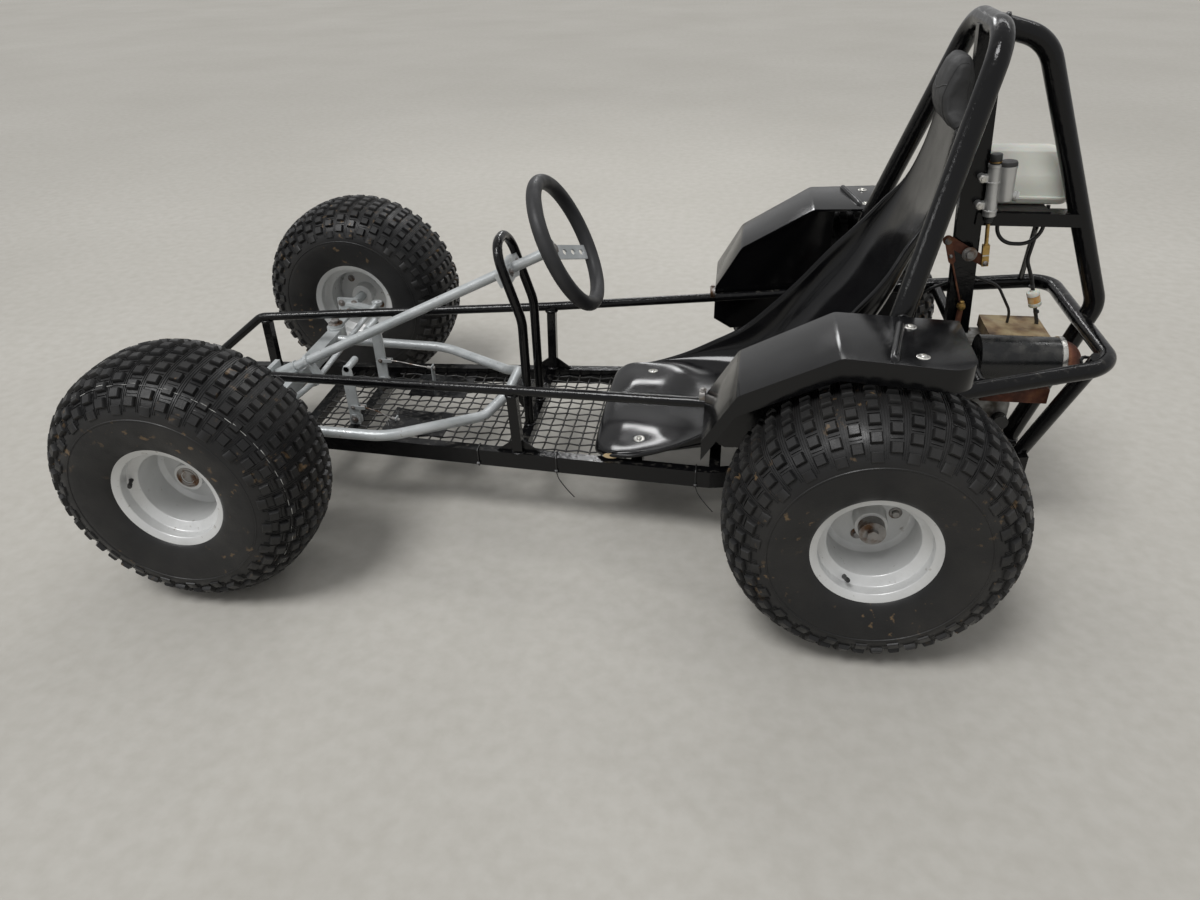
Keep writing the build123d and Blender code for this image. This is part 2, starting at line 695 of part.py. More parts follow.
with BuildPart() as arm_bracket:
    bracket_top = RADIUS_APEX_Z - ARM_BRACKET_HALF
    with BuildSketch(Plane.XZ):
        with BuildLine():
            Polyline(profile(RADIUS_APEX, bracket_top - ARM_BRACKET_HALF),
                     profile(RADIUS_APEX, RADIUS_APEX_Z),
                     profile(HOOP_CROSS, RADIUS_APEX_Z), profile(HOOP_CROSS, CROSS_TOP),
                     profile(HOOP_CROSS - CROSS_WIDTH / 2, CROSS_TOP), close=True)
        make_face()
    extrude(amount=ARM_BRACKET_HALF, both=True)
    add(radius_arm.part, mode=Mode.SUBTRACT)
save(arm_bracket.part, "arm_bracket")

# Roll hoop, stay and strut

with BuildPart() as main_hoop:
    leg = [at(HOOP_FOOT, -HOOP_FOOT_HALF, LOOP_FRONT_Z), at(HOOP_KNEE, -HOOP_KNEE_HALF, HOOP_KNEE_Z),
           at(HOOP_TOP, -HOOP_TOP_HALF, HOOP_TOP_Z)]
    far_leg = [Vector(p.X, -p.Y, p.Z) for p in leg]
    tube(leg + far_leg[::-1], [HOOP_KNEE_R, HOOP_TOP_R, HOOP_TOP_R, HOOP_KNEE_R], HOOP_MAIN_TUBE)
    add(rear_loop.part, mode=Mode.SUBTRACT)
    add(upper_rails.part, mode=Mode.SUBTRACT)
    hoop_solid = main_hoop.part.solids().sort_by(lambda s: s.volume)[-1]
save(hoop_solid, "main_hoop")

with BuildPart() as rear_stay:
    tube([at(HOOP_TOP, 0, HOOP_TOP_Z), at(STAY_BEND, 0, STAY_BEND_Z), at(STAY_KNEE, 0, STAY_KNEE_Z),
          at(REAR_CROSS, 0, CROSS_TOP)], [STAY_TOP_R, STAY_KNEE_R], STAY_TUBE)
    add(hoop_solid, mode=Mode.SUBTRACT)
    add(rear_loop.part, mode=Mode.SUBTRACT)
    add(floor_cross_members.part, mode=Mode.SUBTRACT)
save(rear_stay.part, "rear_stay")

with BuildPart() as rear_strut:
    strut_foot = at(REAR_CROSS, -LOWER_REAR_HALF + STRUT_FOOT_IN, CROSS_TOP)
    strut_head = at(LOOP_REAR - STRUT_FOOT_IN, -LOOP_REAR_HALF + STRUT_HEAD_IN, LOOP_REAR_Z)
    tube([strut_foot, strut_head], None, STRUT_TUBE)
    add(rear_loop.part, mode=Mode.SUBTRACT)
    add(floor_cross_members.part, mode=Mode.SUBTRACT)
    add(floor_rails.part, mode=Mode.SUBTRACT)
    strut_solid = rear_strut.part.solids().sort_by(lambda s: s.volume)[-1]
save(strut_solid, "rear_strut")

# Post behind the seat, from a cross tube of the loop to the hoop's top, and the tank's bar

with BuildPart() as loop_cross_tube:
    cross_half = between([LOOP_FRONT, LOOP_REAR], [LOOP_FRONT_HALF, LOOP_REAR_HALF], POST_FOOT)
    cross_z = between([LOOP_FRONT, LOOP_REAR], [LOOP_FRONT_Z, LOOP_REAR_Z], POST_FOOT)
    tube([at(POST_FOOT, -cross_half, cross_z), at(POST_FOOT, cross_half, cross_z)], None, LOOP_CROSS_TUBE)
    with Locations(at(POST_FOOT, 0, (CASE_TOP + cross_z) / 2)):
        Box(ENGINE_STAY_WIDTH, ENGINE_STAY_THICK, cross_z - CASE_TOP)
    add(rear_loop.part, mode=Mode.SUBTRACT)
save(loop_cross_tube.part, "loop_cross_tube")

with BuildPart() as seat_post:
    foot = at(POST_FOOT, 0, cross_z)
    head = at(HOOP_TOP, 0, HOOP_TOP_Z)
    with BuildSketch(Plane(origin=foot, x_dir=(1, 0, 0), z_dir=head - foot)):
        Rectangle(SEAT_POST_WIDTH, SEAT_POST_THICK)
    extrude(amount=(head - foot).length)
    add(loop_cross_tube.part, mode=Mode.SUBTRACT)
    add(hoop_solid, mode=Mode.SUBTRACT)
    add(rear_stay.part, mode=Mode.SUBTRACT)
    post_solid = seat_post.part.solids().sort_by(lambda s: s.volume)[-1]
save(post_solid, "seat_post")

with BuildPart() as tank_bar:
    with Locations(at((TANK_BAR_FRONT + TANK_BAR_REAR) / 2, 0, TANK_BAR_Z)):
        Box(TANK_BAR_REAR - TANK_BAR_FRONT, TANK_BAR_WIDTH, TANK_BAR_HEIGHT)
    brace_half = between([LOOP_FRONT, LOOP_REAR], [LOOP_FRONT_HALF, LOOP_REAR_HALF], BRACE_FOOT)
    brace_z = between([LOOP_FRONT, LOOP_REAR], [LOOP_FRONT_Z, LOOP_REAR_Z], BRACE_FOOT)
    tube([at(BRACE_HEAD, 0, TANK_BAR_Z), at(BRACE_FOOT, brace_half, brace_z)], None, BRACE_TUBE)
    add(post_solid, mode=Mode.SUBTRACT)
    add(rear_stay.part, mode=Mode.SUBTRACT)
    add(rear_loop.part, mode=Mode.SUBTRACT)
    bar_solid = tank_bar.part.solids().sort_by(lambda s: s.volume)[-1]
save(bar_solid, "tank_bar")

with BuildPart() as fender_supports:
    leg_share = (SUPPORT_Z - HOOP_KNEE_Z) / (HOOP_TOP_Z - HOOP_KNEE_Z)
    support_x = HOOP_KNEE + leg_share * (HOOP_TOP - HOOP_KNEE)
    support_ends = [at(support_x, -HOOP_KNEE_HALF, SUPPORT_Z), at(support_x, -SUPPORT_REACH, SUPPORT_Z)]
    tube(support_ends, None, SUPPORT_TUBE)
    mirror(about=Plane.XZ)
    add(hoop_solid, mode=Mode.SUBTRACT)
save(fender_supports.part, "fender_supports")

# Seat: a moulded bucket, lofted through sections from its front edge to the top of its back

SEAT_LENGTH = SEAT_TOP - SEAT_FRONT
SEAT_HIP_Z = LOWER_TOP + SEAT_HIP_RISE
SEAT_LUMBAR_Z = LOWER_TOP + SEAT_LUMBAR_RISE
SEAT_UPPER = SEAT_TOP_Z - SEAT_LUMBAR_Z

# Share of the seat's length, height of the floor, lean in degrees, and then half width at
# the floor, half width at the rim and depth, all three as shares of the seat's half width
SEAT_SECTIONS = [(0.0, LOWER_TOP, 0, 0.85, 0.92, 0.08), (0.138, LOWER_TOP, 0, 0.86, 0.99, 0.14),
                 (0.33, LOWER_TOP, 0, 0.82, 1.0, 0.33), (0.494, LOWER_TOP, 8, 0.78, 0.985, 0.58),
                 (0.642, SEAT_HIP_Z, 32, 0.74, 0.94, 0.47), (0.831, SEAT_LUMBAR_Z, 41.6, 0.68, 0.88, 0.42),
                 (0.931, SEAT_LUMBAR_Z + 0.42 * SEAT_UPPER, 70, 0.6, 0.73, 0.174),
                 (0.981, SEAT_LUMBAR_Z + 0.78 * SEAT_UPPER, 80, 0.45, 0.56, 0.093),
                 (1.0, SEAT_TOP_Z, 90, 0.4, 0.49, 0.087)]


def bucket(inset):
    """The seat's closed outer form, or its hollow, inset by the wall and open at the rim."""
    with BuildPart() as form:
        for along, floor_z, lean, floor_half, rim_half, depth in SEAT_SECTIONS:
            floor = at(SEAT_FRONT + along * SEAT_LENGTH, 0, floor_z)
            across = Vector(cos(radians(lean)), 0, sin(radians(lean)))
            rim_z = depth * SEAT_HALF + inset
            low = floor_half * SEAT_HALF - inset
            high = rim_half * SEAT_HALF - inset
            with BuildSketch(Plane(origin=floor, x_dir=(0, 1, 0), z_dir=across)):
                with BuildLine():
                    Polyline((-high, rim_z), (-low, inset), (low, inset), (high, rim_z), close=True)
                make_face()
                fillet(vertices().sort_by(Axis.Y)[:2], min(SEAT_ROUND_R, 0.7 * depth * SEAT_HALF))
        loft(ruled=True)
    return form.part


with BuildPart() as seat:
    add(bucket(0))
    add(bucket(SEAT_WALL), mode=Mode.SUBTRACT)
    with BuildSketch():
        with BuildLine():
            half_plan = [(AXLE_X + SEAT_FRONT, 0.93 * SEAT_HALF),
                         (AXLE_X + SEAT_FRONT_CROSS, 1.02 * SEAT_HALF),
                         (AXLE_X + 2 * SEAT_TOP, 1.02 * SEAT_HALF)]
            Polyline(*half_plan, *[(x, -y) for x, y in half_plan[::-1]], close=True)
        make_face()
        fillet(vertices().sort_by(Axis.X)[:2], SEAT_CORNER_R)
    extrude(amount=2 * SEAT_TOP_Z, mode=Mode.INTERSECT)
    seat_solid = seat.part.solids().sort_by(lambda s: s.volume)[-1]
save(seat_solid, "seat")

PAD_LOW_Z = SEAT_TOP_Z + SEAT_GAP
with BuildPart() as headrest_pad:
    with BuildSketch(Plane.XZ):
        with BuildLine():
            Polyline(profile(SEAT_TOP - PAD_FOOT, PAD_LOW_Z), profile(SEAT_TOP, PAD_LOW_Z),
                     profile(SEAT_TOP + PAD_LEAN, SEAT_TOP_Z + PAD_HEIGHT),
                     profile(SEAT_TOP + PAD_LEAN - PAD_THICK, SEAT_TOP_Z + PAD_HEIGHT),
                     profile(SEAT_TOP - PAD_FOOT - PAD_BULGE, SEAT_TOP_Z + PAD_HEIGHT / 2), close=True)
        make_face()
    extrude(amount=PAD_HALF, both=True)
    add(post_solid, mode=Mode.SUBTRACT)
    pad_solid = headrest_pad.part.solids().sort_by(lambda s: s.volume)[-1]
save(pad_solid, "headrest_pad")

# Fenders: a folded top with an outer skirt and a deep inner wall along the rail

RAIL_SPLAY = (RAIL_REAR_HALF - RAIL_MID_HALF) / (RAIL_REAR - RAIL_MID)
FENDER_TOP = [(FENDER_FRONT, FENDER_FRONT_Z), (FENDER_BROW, FENDER_BROW_Z),
              (FENDER_CREST, FENDER_TOP_Z), (FENDER_REAR, FENDER_TOP_Z)]
FENDER_LOW = [(x, z - SKIRT_DEPTH) for x, z in FENDER_TOP]


def rail_outside(x):
    return RAIL_MID_HALF + RAIL_SPLAY * (x - RAIL_MID) + RAIL_TUBE / 2 + SEAT_GAP


def fender_form(drop, edge_inset):
    """The closed form under the folded top, down by drop and in from the outer edge."""
    plan_front = FENDER_FRONT - SKIRT_DEPTH
    with BuildPart() as form:
        with BuildSketch(Plane.XZ):
            with BuildLine():
                FilletPolyline(*[profile(x, z - drop) for x, z in FENDER_TOP], radius=FENDER_FOLD_R)
                FilletPolyline(*[profile(x, z) for x, z in FENDER_LOW], radius=FENDER_FOLD_R)
                for end in (0, -1):
                    x, z = FENDER_TOP[end]
                    Line(profile(x, z - drop), profile(*FENDER_LOW[end]))
            make_face()
        extrude(amount=2 * FENDER_OUTER_REAR)
        with BuildSketch():
            with BuildLine():
                Polyline((AXLE_X + plan_front, -rail_outside(plan_front)),
                         (AXLE_X + FENDER_REAR, -FENDER_INNER_REAR),
                         (AXLE_X + FENDER_REAR, -FENDER_OUTER_REAR + edge_inset),
                         (AXLE_X + plan_front, -FENDER_OUTER_FRONT + edge_inset), close=True)
            make_face()
            outer_corner = vertices().sort_by(Axis.X)[-2:].sort_by(Axis.Y)[0]
            fillet(outer_corner, FENDER_CORNER_R)
        extrude(amount=2 * FENDER_TOP_Z, mode=Mode.INTERSECT)
    return form.part


with BuildPart() as fenders:
    add(fender_form(0, 0))
    add(fender_form(FENDER_SHEET, FENDER_SHEET), mode=Mode.SUBTRACT)
    wall_length = FENDER_WALL_REAR - FENDER_FRONT
    wall_start = at(FENDER_FRONT, -rail_outside(FENDER_FRONT), 0)
    with BuildSketch(Plane(origin=wall_start, x_dir=(1, -RAIL_SPLAY, 0), z_dir=(0, 0, 1))):
        with Locations((wall_length / 2, -FENDER_SHEET / 2)):
            Rectangle(wall_length, FENDER_SHEET)
    extrude(amount=FENDER_TOP_Z)
    hem_z = FENDER_TOP_Z - SKIRT_DEPTH
    with BuildSketch(Plane.XZ):
        with BuildLine():
            FilletPolyline(*[profile(x, z) for x, z in FENDER_TOP], radius=FENDER_FOLD_R)
            Polyline(profile(FENDER_REAR, FENDER_TOP_Z), profile(FENDER_REAR, hem_z),
                     profile(FENDER_WALL_REAR, hem_z), profile(FENDER_WALL_REAR, FENDER_WALL_REAR_Z),
                     profile(FENDER_WALL_HEEL, FENDER_WALL_HEEL_Z),
                     profile(FENDER_WALL_TOE, FENDER_WALL_TOE_Z),
                     profile(FENDER_FRONT, FENDER_CHIN_Z), profile(FENDER_FRONT, FENDER_FRONT_Z))
        make_face()
    extrude(amount=2 * FENDER_OUTER_REAR, mode=Mode.INTERSECT)
    add(main_hoop.part, mode=Mode.SUBTRACT)
    fender_solid = fenders.part.solids().sort_by(lambda s: s.volume)[-1]
with BuildPart() as fender_pair:
    add(fender_solid)
    mirror(about=Plane.XZ)
save(fender_pair.part, "fenders")

# Pedals: flat bars on pivot lugs, each with a round foot bar

with BuildPart() as pedals:
    for side, length in ((-1, LEFT_PEDAL_LENGTH), (1, RIGHT_PEDAL_LENGTH)):
        with Locations(at(PEDAL_CROSS, side * PEDAL_HALF, CROSS_TOP + length / 2)):
            Box(PEDAL_WIDTH, PEDAL_THICK, length)
        with Locations(at(PEDAL_CROSS, side * (PEDAL_HALF - PEDAL_FOOT / 2), CROSS_TOP + length)):
            Cylinder(PEDAL_BAR / 2, PEDAL_FOOT, rotation=(90, 0, 0))
save(pedals.part, "pedals")

# Steering column with its drop arm, and the wheel

with BuildPart() as steering_column:
    with BuildSketch(Plane(origin=on_column(0), z_dir=COLUMN_DIR)):
        Circle(COLUMN_TUBE / 2)
    extrude(amount=COLUMN_LENGTH)
    with BuildSketch(Plane(origin=on_column(-FOOT_SOCKET), z_dir=COLUMN_DIR)):
        Circle(COLUMN_STUB / 2)
    extrude(amount=FOOT_SOCKET)
    with BuildSketch(Plane(origin=on_column(DROP_ARM_STATION), x_dir=COLUMN_DOWN, z_dir=COLUMN_DIR)):
        SlotCenterPoint((DROP_ARM_LENGTH / 2, 0), (DROP_ARM_LENGTH, 0), DROP_ARM_WIDTH)
        Circle(COLUMN_TUBE / 2 + DROP_ARM_BOSS)
    extrude(amount=DROP_ARM_THICK)
save(steering_column.part, "steering_column")

COLUMN_UP = COLUMN_DOWN * -1
WHEEL_PLANE = Plane(origin=on_column(COLUMN_LENGTH), x_dir=(0, 1, 0), z_dir=COLUMN_DIR)

with BuildPart() as wheel_grip:
    with Locations(WHEEL_PLANE.offset(WHEEL_DISH).location):
        Torus(WHEEL_RING_R, WHEEL_GRIP / 2)
save(wheel_grip.part, "wheel_grip")

with BuildPart() as wheel_spokes:
    with BuildSketch(WHEEL_PLANE):
        Circle(SPOKE_HUB_R)
    extrude(amount=SPOKE_THICK)
    for turn in (90, 210, 330):
        along = Vector(0, cos(radians(turn)), 0) + COLUMN_UP * sin(radians(turn))
        with BuildSketch(Plane(origin=on_column(COLUMN_LENGTH), x_dir=along, z_dir=along.cross(COLUMN_DIR))):
            with BuildLine():
                Polyline((0, SPOKE_THICK / 2), (SPOKE_HUB_R, SPOKE_THICK / 2), (WHEEL_RING_R, WHEEL_DISH))
            trace(line_width=SPOKE_THICK)
        extrude(amount=SPOKE_WIDTH / 2, both=True)
        for share in (0.2, 0.45, 0.7):
            reach = SPOKE_HUB_R + share * (WHEEL_RING_R - SPOKE_HUB_R)
            with BuildSketch(Plane(origin=on_column(COLUMN_LENGTH) + along * reach, z_dir=COLUMN_DIR)):
                Circle(SPOKE_HOLE_R)
            extrude(amount=WHEEL_DISH, mode=Mode.SUBTRACT)
    add(wheel_grip.part, mode=Mode.SUBTRACT)
    spokes_solid = wheel_spokes.part.solids().sort_by(lambda s: s.volume)[-1]
save(spokes_solid, "wheel_spokes")

# Knuckles: kingpin, upright, stub axle and a steering arm with its ball

CAP_Z = BEAM_Z + KINGPIN_HOUSING_LENGTH / 2 + SEAT_GAP
STEER_ARM_TOP = STEER_BALL_Z - BALL_R - BALL_STUD


def knuckle(side):
    with BuildPart() as form:
        with Locations(at(KINGPIN_STATION, side * KINGPIN_HALF, BEAM_Z)):
            Cylinder(KINGPIN_PIN / 2, KINGPIN_HOUSING_LENGTH + 2 * (SEAT_GAP + KNUCKLE_PLATE))
        for end in (-1, 1):
            washer_z = BEAM_Z + end * (KINGPIN_HOUSING_LENGTH / 2 + SEAT_GAP + KNUCKLE_PLATE / 2)
            with Locations(at(KINGPIN_STATION, side * KINGPIN_HALF, washer_z)):
                Cylinder(KINGPIN_PIN, KNUCKLE_PLATE)
        web_length = UPRIGHT_HALF - KINGPIN_HALF
        web_middle = KINGPIN_HALF + web_length / 2
        with Locations(at(KINGPIN_STATION, side * web_middle, CAP_Z + KNUCKLE_PLATE / 2)):
            Box(UPRIGHT_WIDTH, web_length, KNUCKLE_PLATE)
        with Locations(at(-WHEELBASE, side * UPRIGHT_HALF, (CAP_Z + UPRIGHT_TOP) / 2)):
            Box(UPRIGHT_LENGTH, KNUCKLE_PLATE, UPRIGHT_TOP - CAP_Z)
        with BuildSketch(Plane(origin=at(-WHEELBASE, side * UPRIGHT_HALF, WHEEL_Z), z_dir=(0, side, 0))):
            Circle(STUB_AXLE / 2)
        extrude(amount=HALF_TRACK_FRONT + STUB_END - UPRIGHT_HALF)
        with BuildSketch(Plane.XY.offset(STEER_ARM_TOP - STEER_ARM_THICK)):
            with BuildLine():
                Polyline((AXLE_X - WHEELBASE, side * UPRIGHT_HALF),
                         (AXLE_X + KINGPIN_STATION + STEER_ARM_LENGTH, side * (KINGPIN_HALF + STEER_ARM_OUT)))
            trace(line_width=STEER_ARM_WIDTH)
        extrude(amount=STEER_ARM_THICK)
        with Locations(at(KINGPIN_STATION + STEER_ARM_LENGTH, side * (KINGPIN_HALF + STEER_ARM_OUT), 0)):
            with Locations((0, 0, STEER_ARM_TOP - STEER_ARM_THICK / 2)):
                Cylinder(STEER_ARM_WIDTH / 2, STEER_ARM_THICK)
            with Locations((0, 0, (STEER_ARM_TOP + STEER_BALL_Z) / 2)):
                Cylinder(BALL_R / 2, STEER_BALL_Z - STEER_ARM_TOP)
            with Locations((0, 0, STEER_BALL_Z)):
                Sphere(BALL_R)
    return form.part


for side, name in ((-1, "left"), (1, "right")):
    save(knuckle(side), f"knuckle_{name}")

# Tie rods, from the balls to eyes in front of the drop arm's foot

EYE_ALONG = DROP_ARM_STATION - TIE_EYE_GAP - TIE_EYE_THICK


def tie_rod(side):
    ball = at(KINGPIN_STATION + STEER_ARM_LENGTH, side * (KINGPIN_HALF + STEER_ARM_OUT), STEER_BALL_Z)
    eye = on_column(EYE_ALONG + TIE_EYE_THICK / 2, DROP_ARM_LENGTH, side * TIE_EYE_SIDE)
    rod_start = ball + (eye - ball).normalized() * (BALL_R + TIE_BALL_INSET)
    with BuildPart() as form:
        with BuildSketch(Plane(origin=rod_start, z_dir=eye - ball)):
            Circle(TIE_ROD / 2)
        extrude(amount=(eye - rod_start).length)
        with Locations(ball):
            Cylinder(BALL_R + TIE_BALL_WALL, BALL_R)
            Sphere(BALL_R + SEAT_GAP, mode=Mode.SUBTRACT)
        eye_start = on_column(EYE_ALONG, DROP_ARM_LENGTH, side * TIE_EYE_SIDE)
        with BuildSketch(Plane(origin=eye_start, z_dir=COLUMN_DIR)):
            Circle(TIE_EYE_R)
        extrude(amount=TIE_EYE_THICK)
        rod_solid = form.part.solids().sort_by(lambda s: s.volume)[-1]
    return rod_solid


for side, name in ((-1, "left"), (1, "right")):
    save(tie_rod(side), f"tie_rod_{name}")

# Wheels: pressed rims with a deep dish, and balloon tyres with staggered rows of lugs.
# Each is made round the Y axis and then moved to its place.

WHEEL_AXIS = Axis((0, 0, 0), (0, 1, 0))
TREAD_BASE_R = TYRE_R - LUG_HEIGHT
CROWN_R = (SHOULDER_HALF ** 2 + SHOULDER_DROP ** 2) / (2 * SHOULDER_DROP)


def wheel_section(side):
    """A plane through the wheel's axis, x up the wheel and y towards side."""
    return Plane(origin=(0, 0, 0), x_dir=(0, 0, 1), z_dir=(-side, 0, 0))


def rim(side, bore, hub_outer):
    seat_end = RIM_FACE - RIM_LIP - RIM_SEAT_WIDTH
    half_rim = [(RIM_FLANGE_R, RIM_FACE), (RIM_SEAT_R, RIM_FACE - RIM_LIP), (RIM_SEAT_R, seat_end),
                (RIM_DROP_R, seat_end - RIM_STEP)]
    with BuildPart() as form:
        with BuildSketch(wheel_section(side)):
            with BuildLine():
                Polyline(*half_rim, *[(r, -w) for r, w in half_rim[::-1]])
            trace(line_width=RIM_SHEET)
            with BuildLine():
                Polyline((RIM_DROP_R, DISC_OFFSET + DISC_BEND), (RIM_DROP_R - DISC_BEND, DISC_OFFSET),
                         (HUB_R - RIM_SHEET, DISC_OFFSET))
            trace(line_width=RIM_SHEET)
            with Locations(((bore + HUB_R) / 2, (hub_outer - HUB_INNER) / 2)):
                Rectangle(HUB_R - bore, hub_outer + HUB_INNER)
        revolve(axis=WHEEL_AXIS)
    return form.part


def tyre_outline(wall):
    """The closed section of the tyre, or of its hollow, inset by the wall."""
    bead = (RIM_SEAT_R - RIM_SHEET / 2 - wall, RIM_FACE - BEAD_IN - wall)
    hip = (RIM_FLANGE_R + BEAD_CLEAR, RIM_FACE + BEAD_CLEAR - wall)
    widest = (SIDEWALL_R, TYRE_HALF_WIDTH - wall)
    shoulder = (TREAD_BASE_R - SHOULDER_DROP - wall * 0.7, SHOULDER_HALF - wall * 0.7)
    with BuildSketch(wheel_section(1)) as outline:
        with BuildLine():
            Line((bead[0], 0), bead)
            Line(bead, hip)
            ThreePointArc(hip, widest, shoulder)
            mirror(about=Plane.XZ)
            ThreePointArc(shoulder, (TREAD_BASE_R - wall, 0), (shoulder[0], -shoulder[1]))
        make_face()
    return outline.sketch


def lug_place(width, turn):
    """A plane just under the tread's base, at a width across it and a turn from its lowest point."""
    lean = asin(width / CROWN_R)
    outward = Vector(sin(turn), 0, -cos(turn))
    normal = outward * cos(lean) + Vector(0, sin(lean), 0)
    foot = outward * (TREAD_BASE_R - CROWN_R) + normal * (CROWN_R - LUG_SINK)
    return Plane(origin=foot, x_dir=(cos(turn), 0, sin(turn)), z_dir=normal)


def tyre(rim_part):
    with BuildPart() as form:
        revolve(tyre_outline(0), axis=WHEEL_AXIS)
        for row in (-2, -1, 0, 1, 2):
            turns = [radians(360 * (step + row % 2 / 2) / LUGS_ROUND) for step in range(LUGS_ROUND)]
            with Locations(*[lug_place(row * LUG_PITCH, turn) for turn in turns]):
                Box(LUG_LENGTH, LUG_WIDTH, LUG_SINK + LUG_HEIGHT,
                    align=(Align.CENTER, Align.CENTER, Align.MIN))
        revolve(tyre_outline(TYRE_WALL), axis=WHEEL_AXIS, mode=Mode.SUBTRACT)
        add(rim_part, mode=Mode.SUBTRACT)
    return form.part.solids().sort_by(lambda s: s.volume)[-1]


def placed(part, back, side):
    return part.moved(Location(at(back, side, WHEEL_Z)))


tyre_form = tyre(rim(1, AXLE_D / 2, REAR_HUB_OUTER))

for side, name in ((-1, "left"), (1, "right")):
    front_rim = rim(side, STUB_AXLE / 2 + RUNNING_FIT, FRONT_HUB_OUTER)
    save(placed(front_rim, -WHEELBASE, side * HALF_TRACK_FRONT), f"rim_front_{name}")
    save(placed(tyre_form, -WHEELBASE, side * HALF_TRACK_FRONT), f"tyre_front_{name}")

with BuildPart() as rims_rear:
    for side in (-1, 1):
        add(placed(rim(side, AXLE_D / 2, REAR_HUB_OUTER), 0, side * HALF_TRACK_REAR))
save(rims_rear.part, "rims_rear")
with BuildPart() as tyres_rear:
    for side in (-1, 1):
        add(placed(tyre_form, 0, side * HALF_TRACK_REAR))
save(tyres_rear.part, "tyres_rear")

# Rear axle with sprocket, brake disc and end bolts, and the carriers it runs in

AXLE_HALF = HALF_TRACK_REAR + REAR_HUB_OUTER


def sprocket(radius, teeth):
    """A toothed plate round the shaft that the open sketch is centred on."""
    Circle(radius - TOOTH_DEPTH)
    with PolarLocations(radius - 2 * TOOTH_DEPTH, teeth):
        Trapezoid(TOOTH_WIDTH, 2 * TOOTH_DEPTH, TOOTH_SLOPE, align=(Align.CENTER, Align.MIN), rotation=-90)


with BuildPart() as rear_axle:
    with BuildSketch(Plane(origin=at(0, -AXLE_HALF, WHEEL_Z), z_dir=(0, 1, 0))):
        Circle(AXLE_D / 2)
    extrude(amount=2 * AXLE_HALF)
    for side in (-1, 1):
        with BuildSketch(Plane(origin=at(0, side * AXLE_HALF, WHEEL_Z), z_dir=(0, side, 0))):
            Circle(END_COLLAR_R)
        extrude(amount=END_COLLAR_LENGTH)
        bolt_start = at(0, side * (AXLE_HALF + END_COLLAR_LENGTH), WHEEL_Z)
        with BuildSketch(Plane(origin=bolt_start, z_dir=(0, side, 0))):
            RegularPolygon(END_BOLT_R, 6)
        extrude(amount=END_BOLT_LENGTH)
    for station in (SPROCKET_SIDE, DISC_SIDE):
        with BuildSketch(Plane(origin=at(0, station - FLANGE_LENGTH / 2, WHEEL_Z), z_dir=(0, 1, 0))):
            Circle(FLANGE_R)
        extrude(amount=FLANGE_LENGTH)
    with BuildSketch(Plane(origin=at(0, SPROCKET_SIDE - SPROCKET_THICK / 2, WHEEL_Z), z_dir=(0, 1, 0))):
        sprocket(SPROCKET_R, SPROCKET_TEETH)
        with PolarLocations((FLANGE_R + SPROCKET_R) / 2, 5):
            Circle(SPROCKET_WINDOW_R, mode=Mode.SUBTRACT)
    extrude(amount=SPROCKET_THICK)
    with BuildSketch(Plane(origin=at(0, DISC_SIDE - DISC_THICK / 2, WHEEL_Z), z_dir=(0, 1, 0))):
        Circle(DISC_R)
        with PolarLocations((FLANGE_R + DISC_R) / 2, 6):
            Circle(DISC_HOLE_R, mode=Mode.SUBTRACT)
    extrude(amount=DISC_THICK)
save(rear_axle.part, "rear_axle")

with BuildPart() as axle_carriers:
    with BuildSketch(Plane.XZ.offset(lower_half(0) - CARRIER_THICK / 2)):
        with Locations((AXLE_X, WHEEL_Z)):
            Circle(CARRIER_RISE)
        with Locations((AXLE_X, (WHEEL_Z + LOWER_TOP) / 2)):
            Rectangle(2 * CARRIER_RISE, WHEEL_Z - LOWER_TOP)
        with Locations((AXLE_X, WHEEL_Z)):
            Circle(AXLE_D / 2 + RUNNING_FIT, mode=Mode.SUBTRACT)
    extrude(amount=CARRIER_THICK)
    mirror(about=Plane.XZ)
save(axle_carriers.part, "axle_carriers")

# Chain: two side plates round both sprockets, joined by the line of rollers

CHAIN_FROM = Vector(AXLE_X, 0, WHEEL_Z)
CHAIN_TO = Vector(AXLE_X + ENGINE_SHAFT, 0, ENGINE_SHAFT_Z)


def chain_band(inset, width, right):
    """A closed band round both sprockets, inset from the plates' edges, width wide from the right."""
    reach = (CHAIN_TO - CHAIN_FROM).length
    fall = atan2(CHAIN_TO.Z - CHAIN_FROM.Z, CHAIN_TO.X - CHAIN_FROM.X)
    lean = acos((SPROCKET_R - ENGINE_SPROCKET_R) / reach)
    with BuildPart() as band:
        for depth, mode in ((CHAIN_THICK - inset, Mode.ADD), (inset, Mode.SUBTRACT)):
            big = SPROCKET_R + CHAIN_GAP + depth
            small = ENGINE_SPROCKET_R + CHAIN_GAP + depth
            corners = []
            for centre, radius, turn in ((CHAIN_FROM, big, fall + lean), (CHAIN_TO, small, fall + lean),
                                         (CHAIN_TO, small, fall - lean), (CHAIN_FROM, big, fall - lean)):
                corners.append((centre.X + radius * cos(turn), centre.Z + radius * sin(turn)))
            with BuildSketch(Plane.XZ.offset(-right)):
                with Locations((CHAIN_FROM.X, CHAIN_FROM.Z)):
                    Circle(big)
                with Locations((CHAIN_TO.X, CHAIN_TO.Z)):
                    Circle(small)
                with BuildLine():
                    Polyline(*corners, close=True)
                make_face()
            extrude(amount=width, mode=mode)
    return band.part


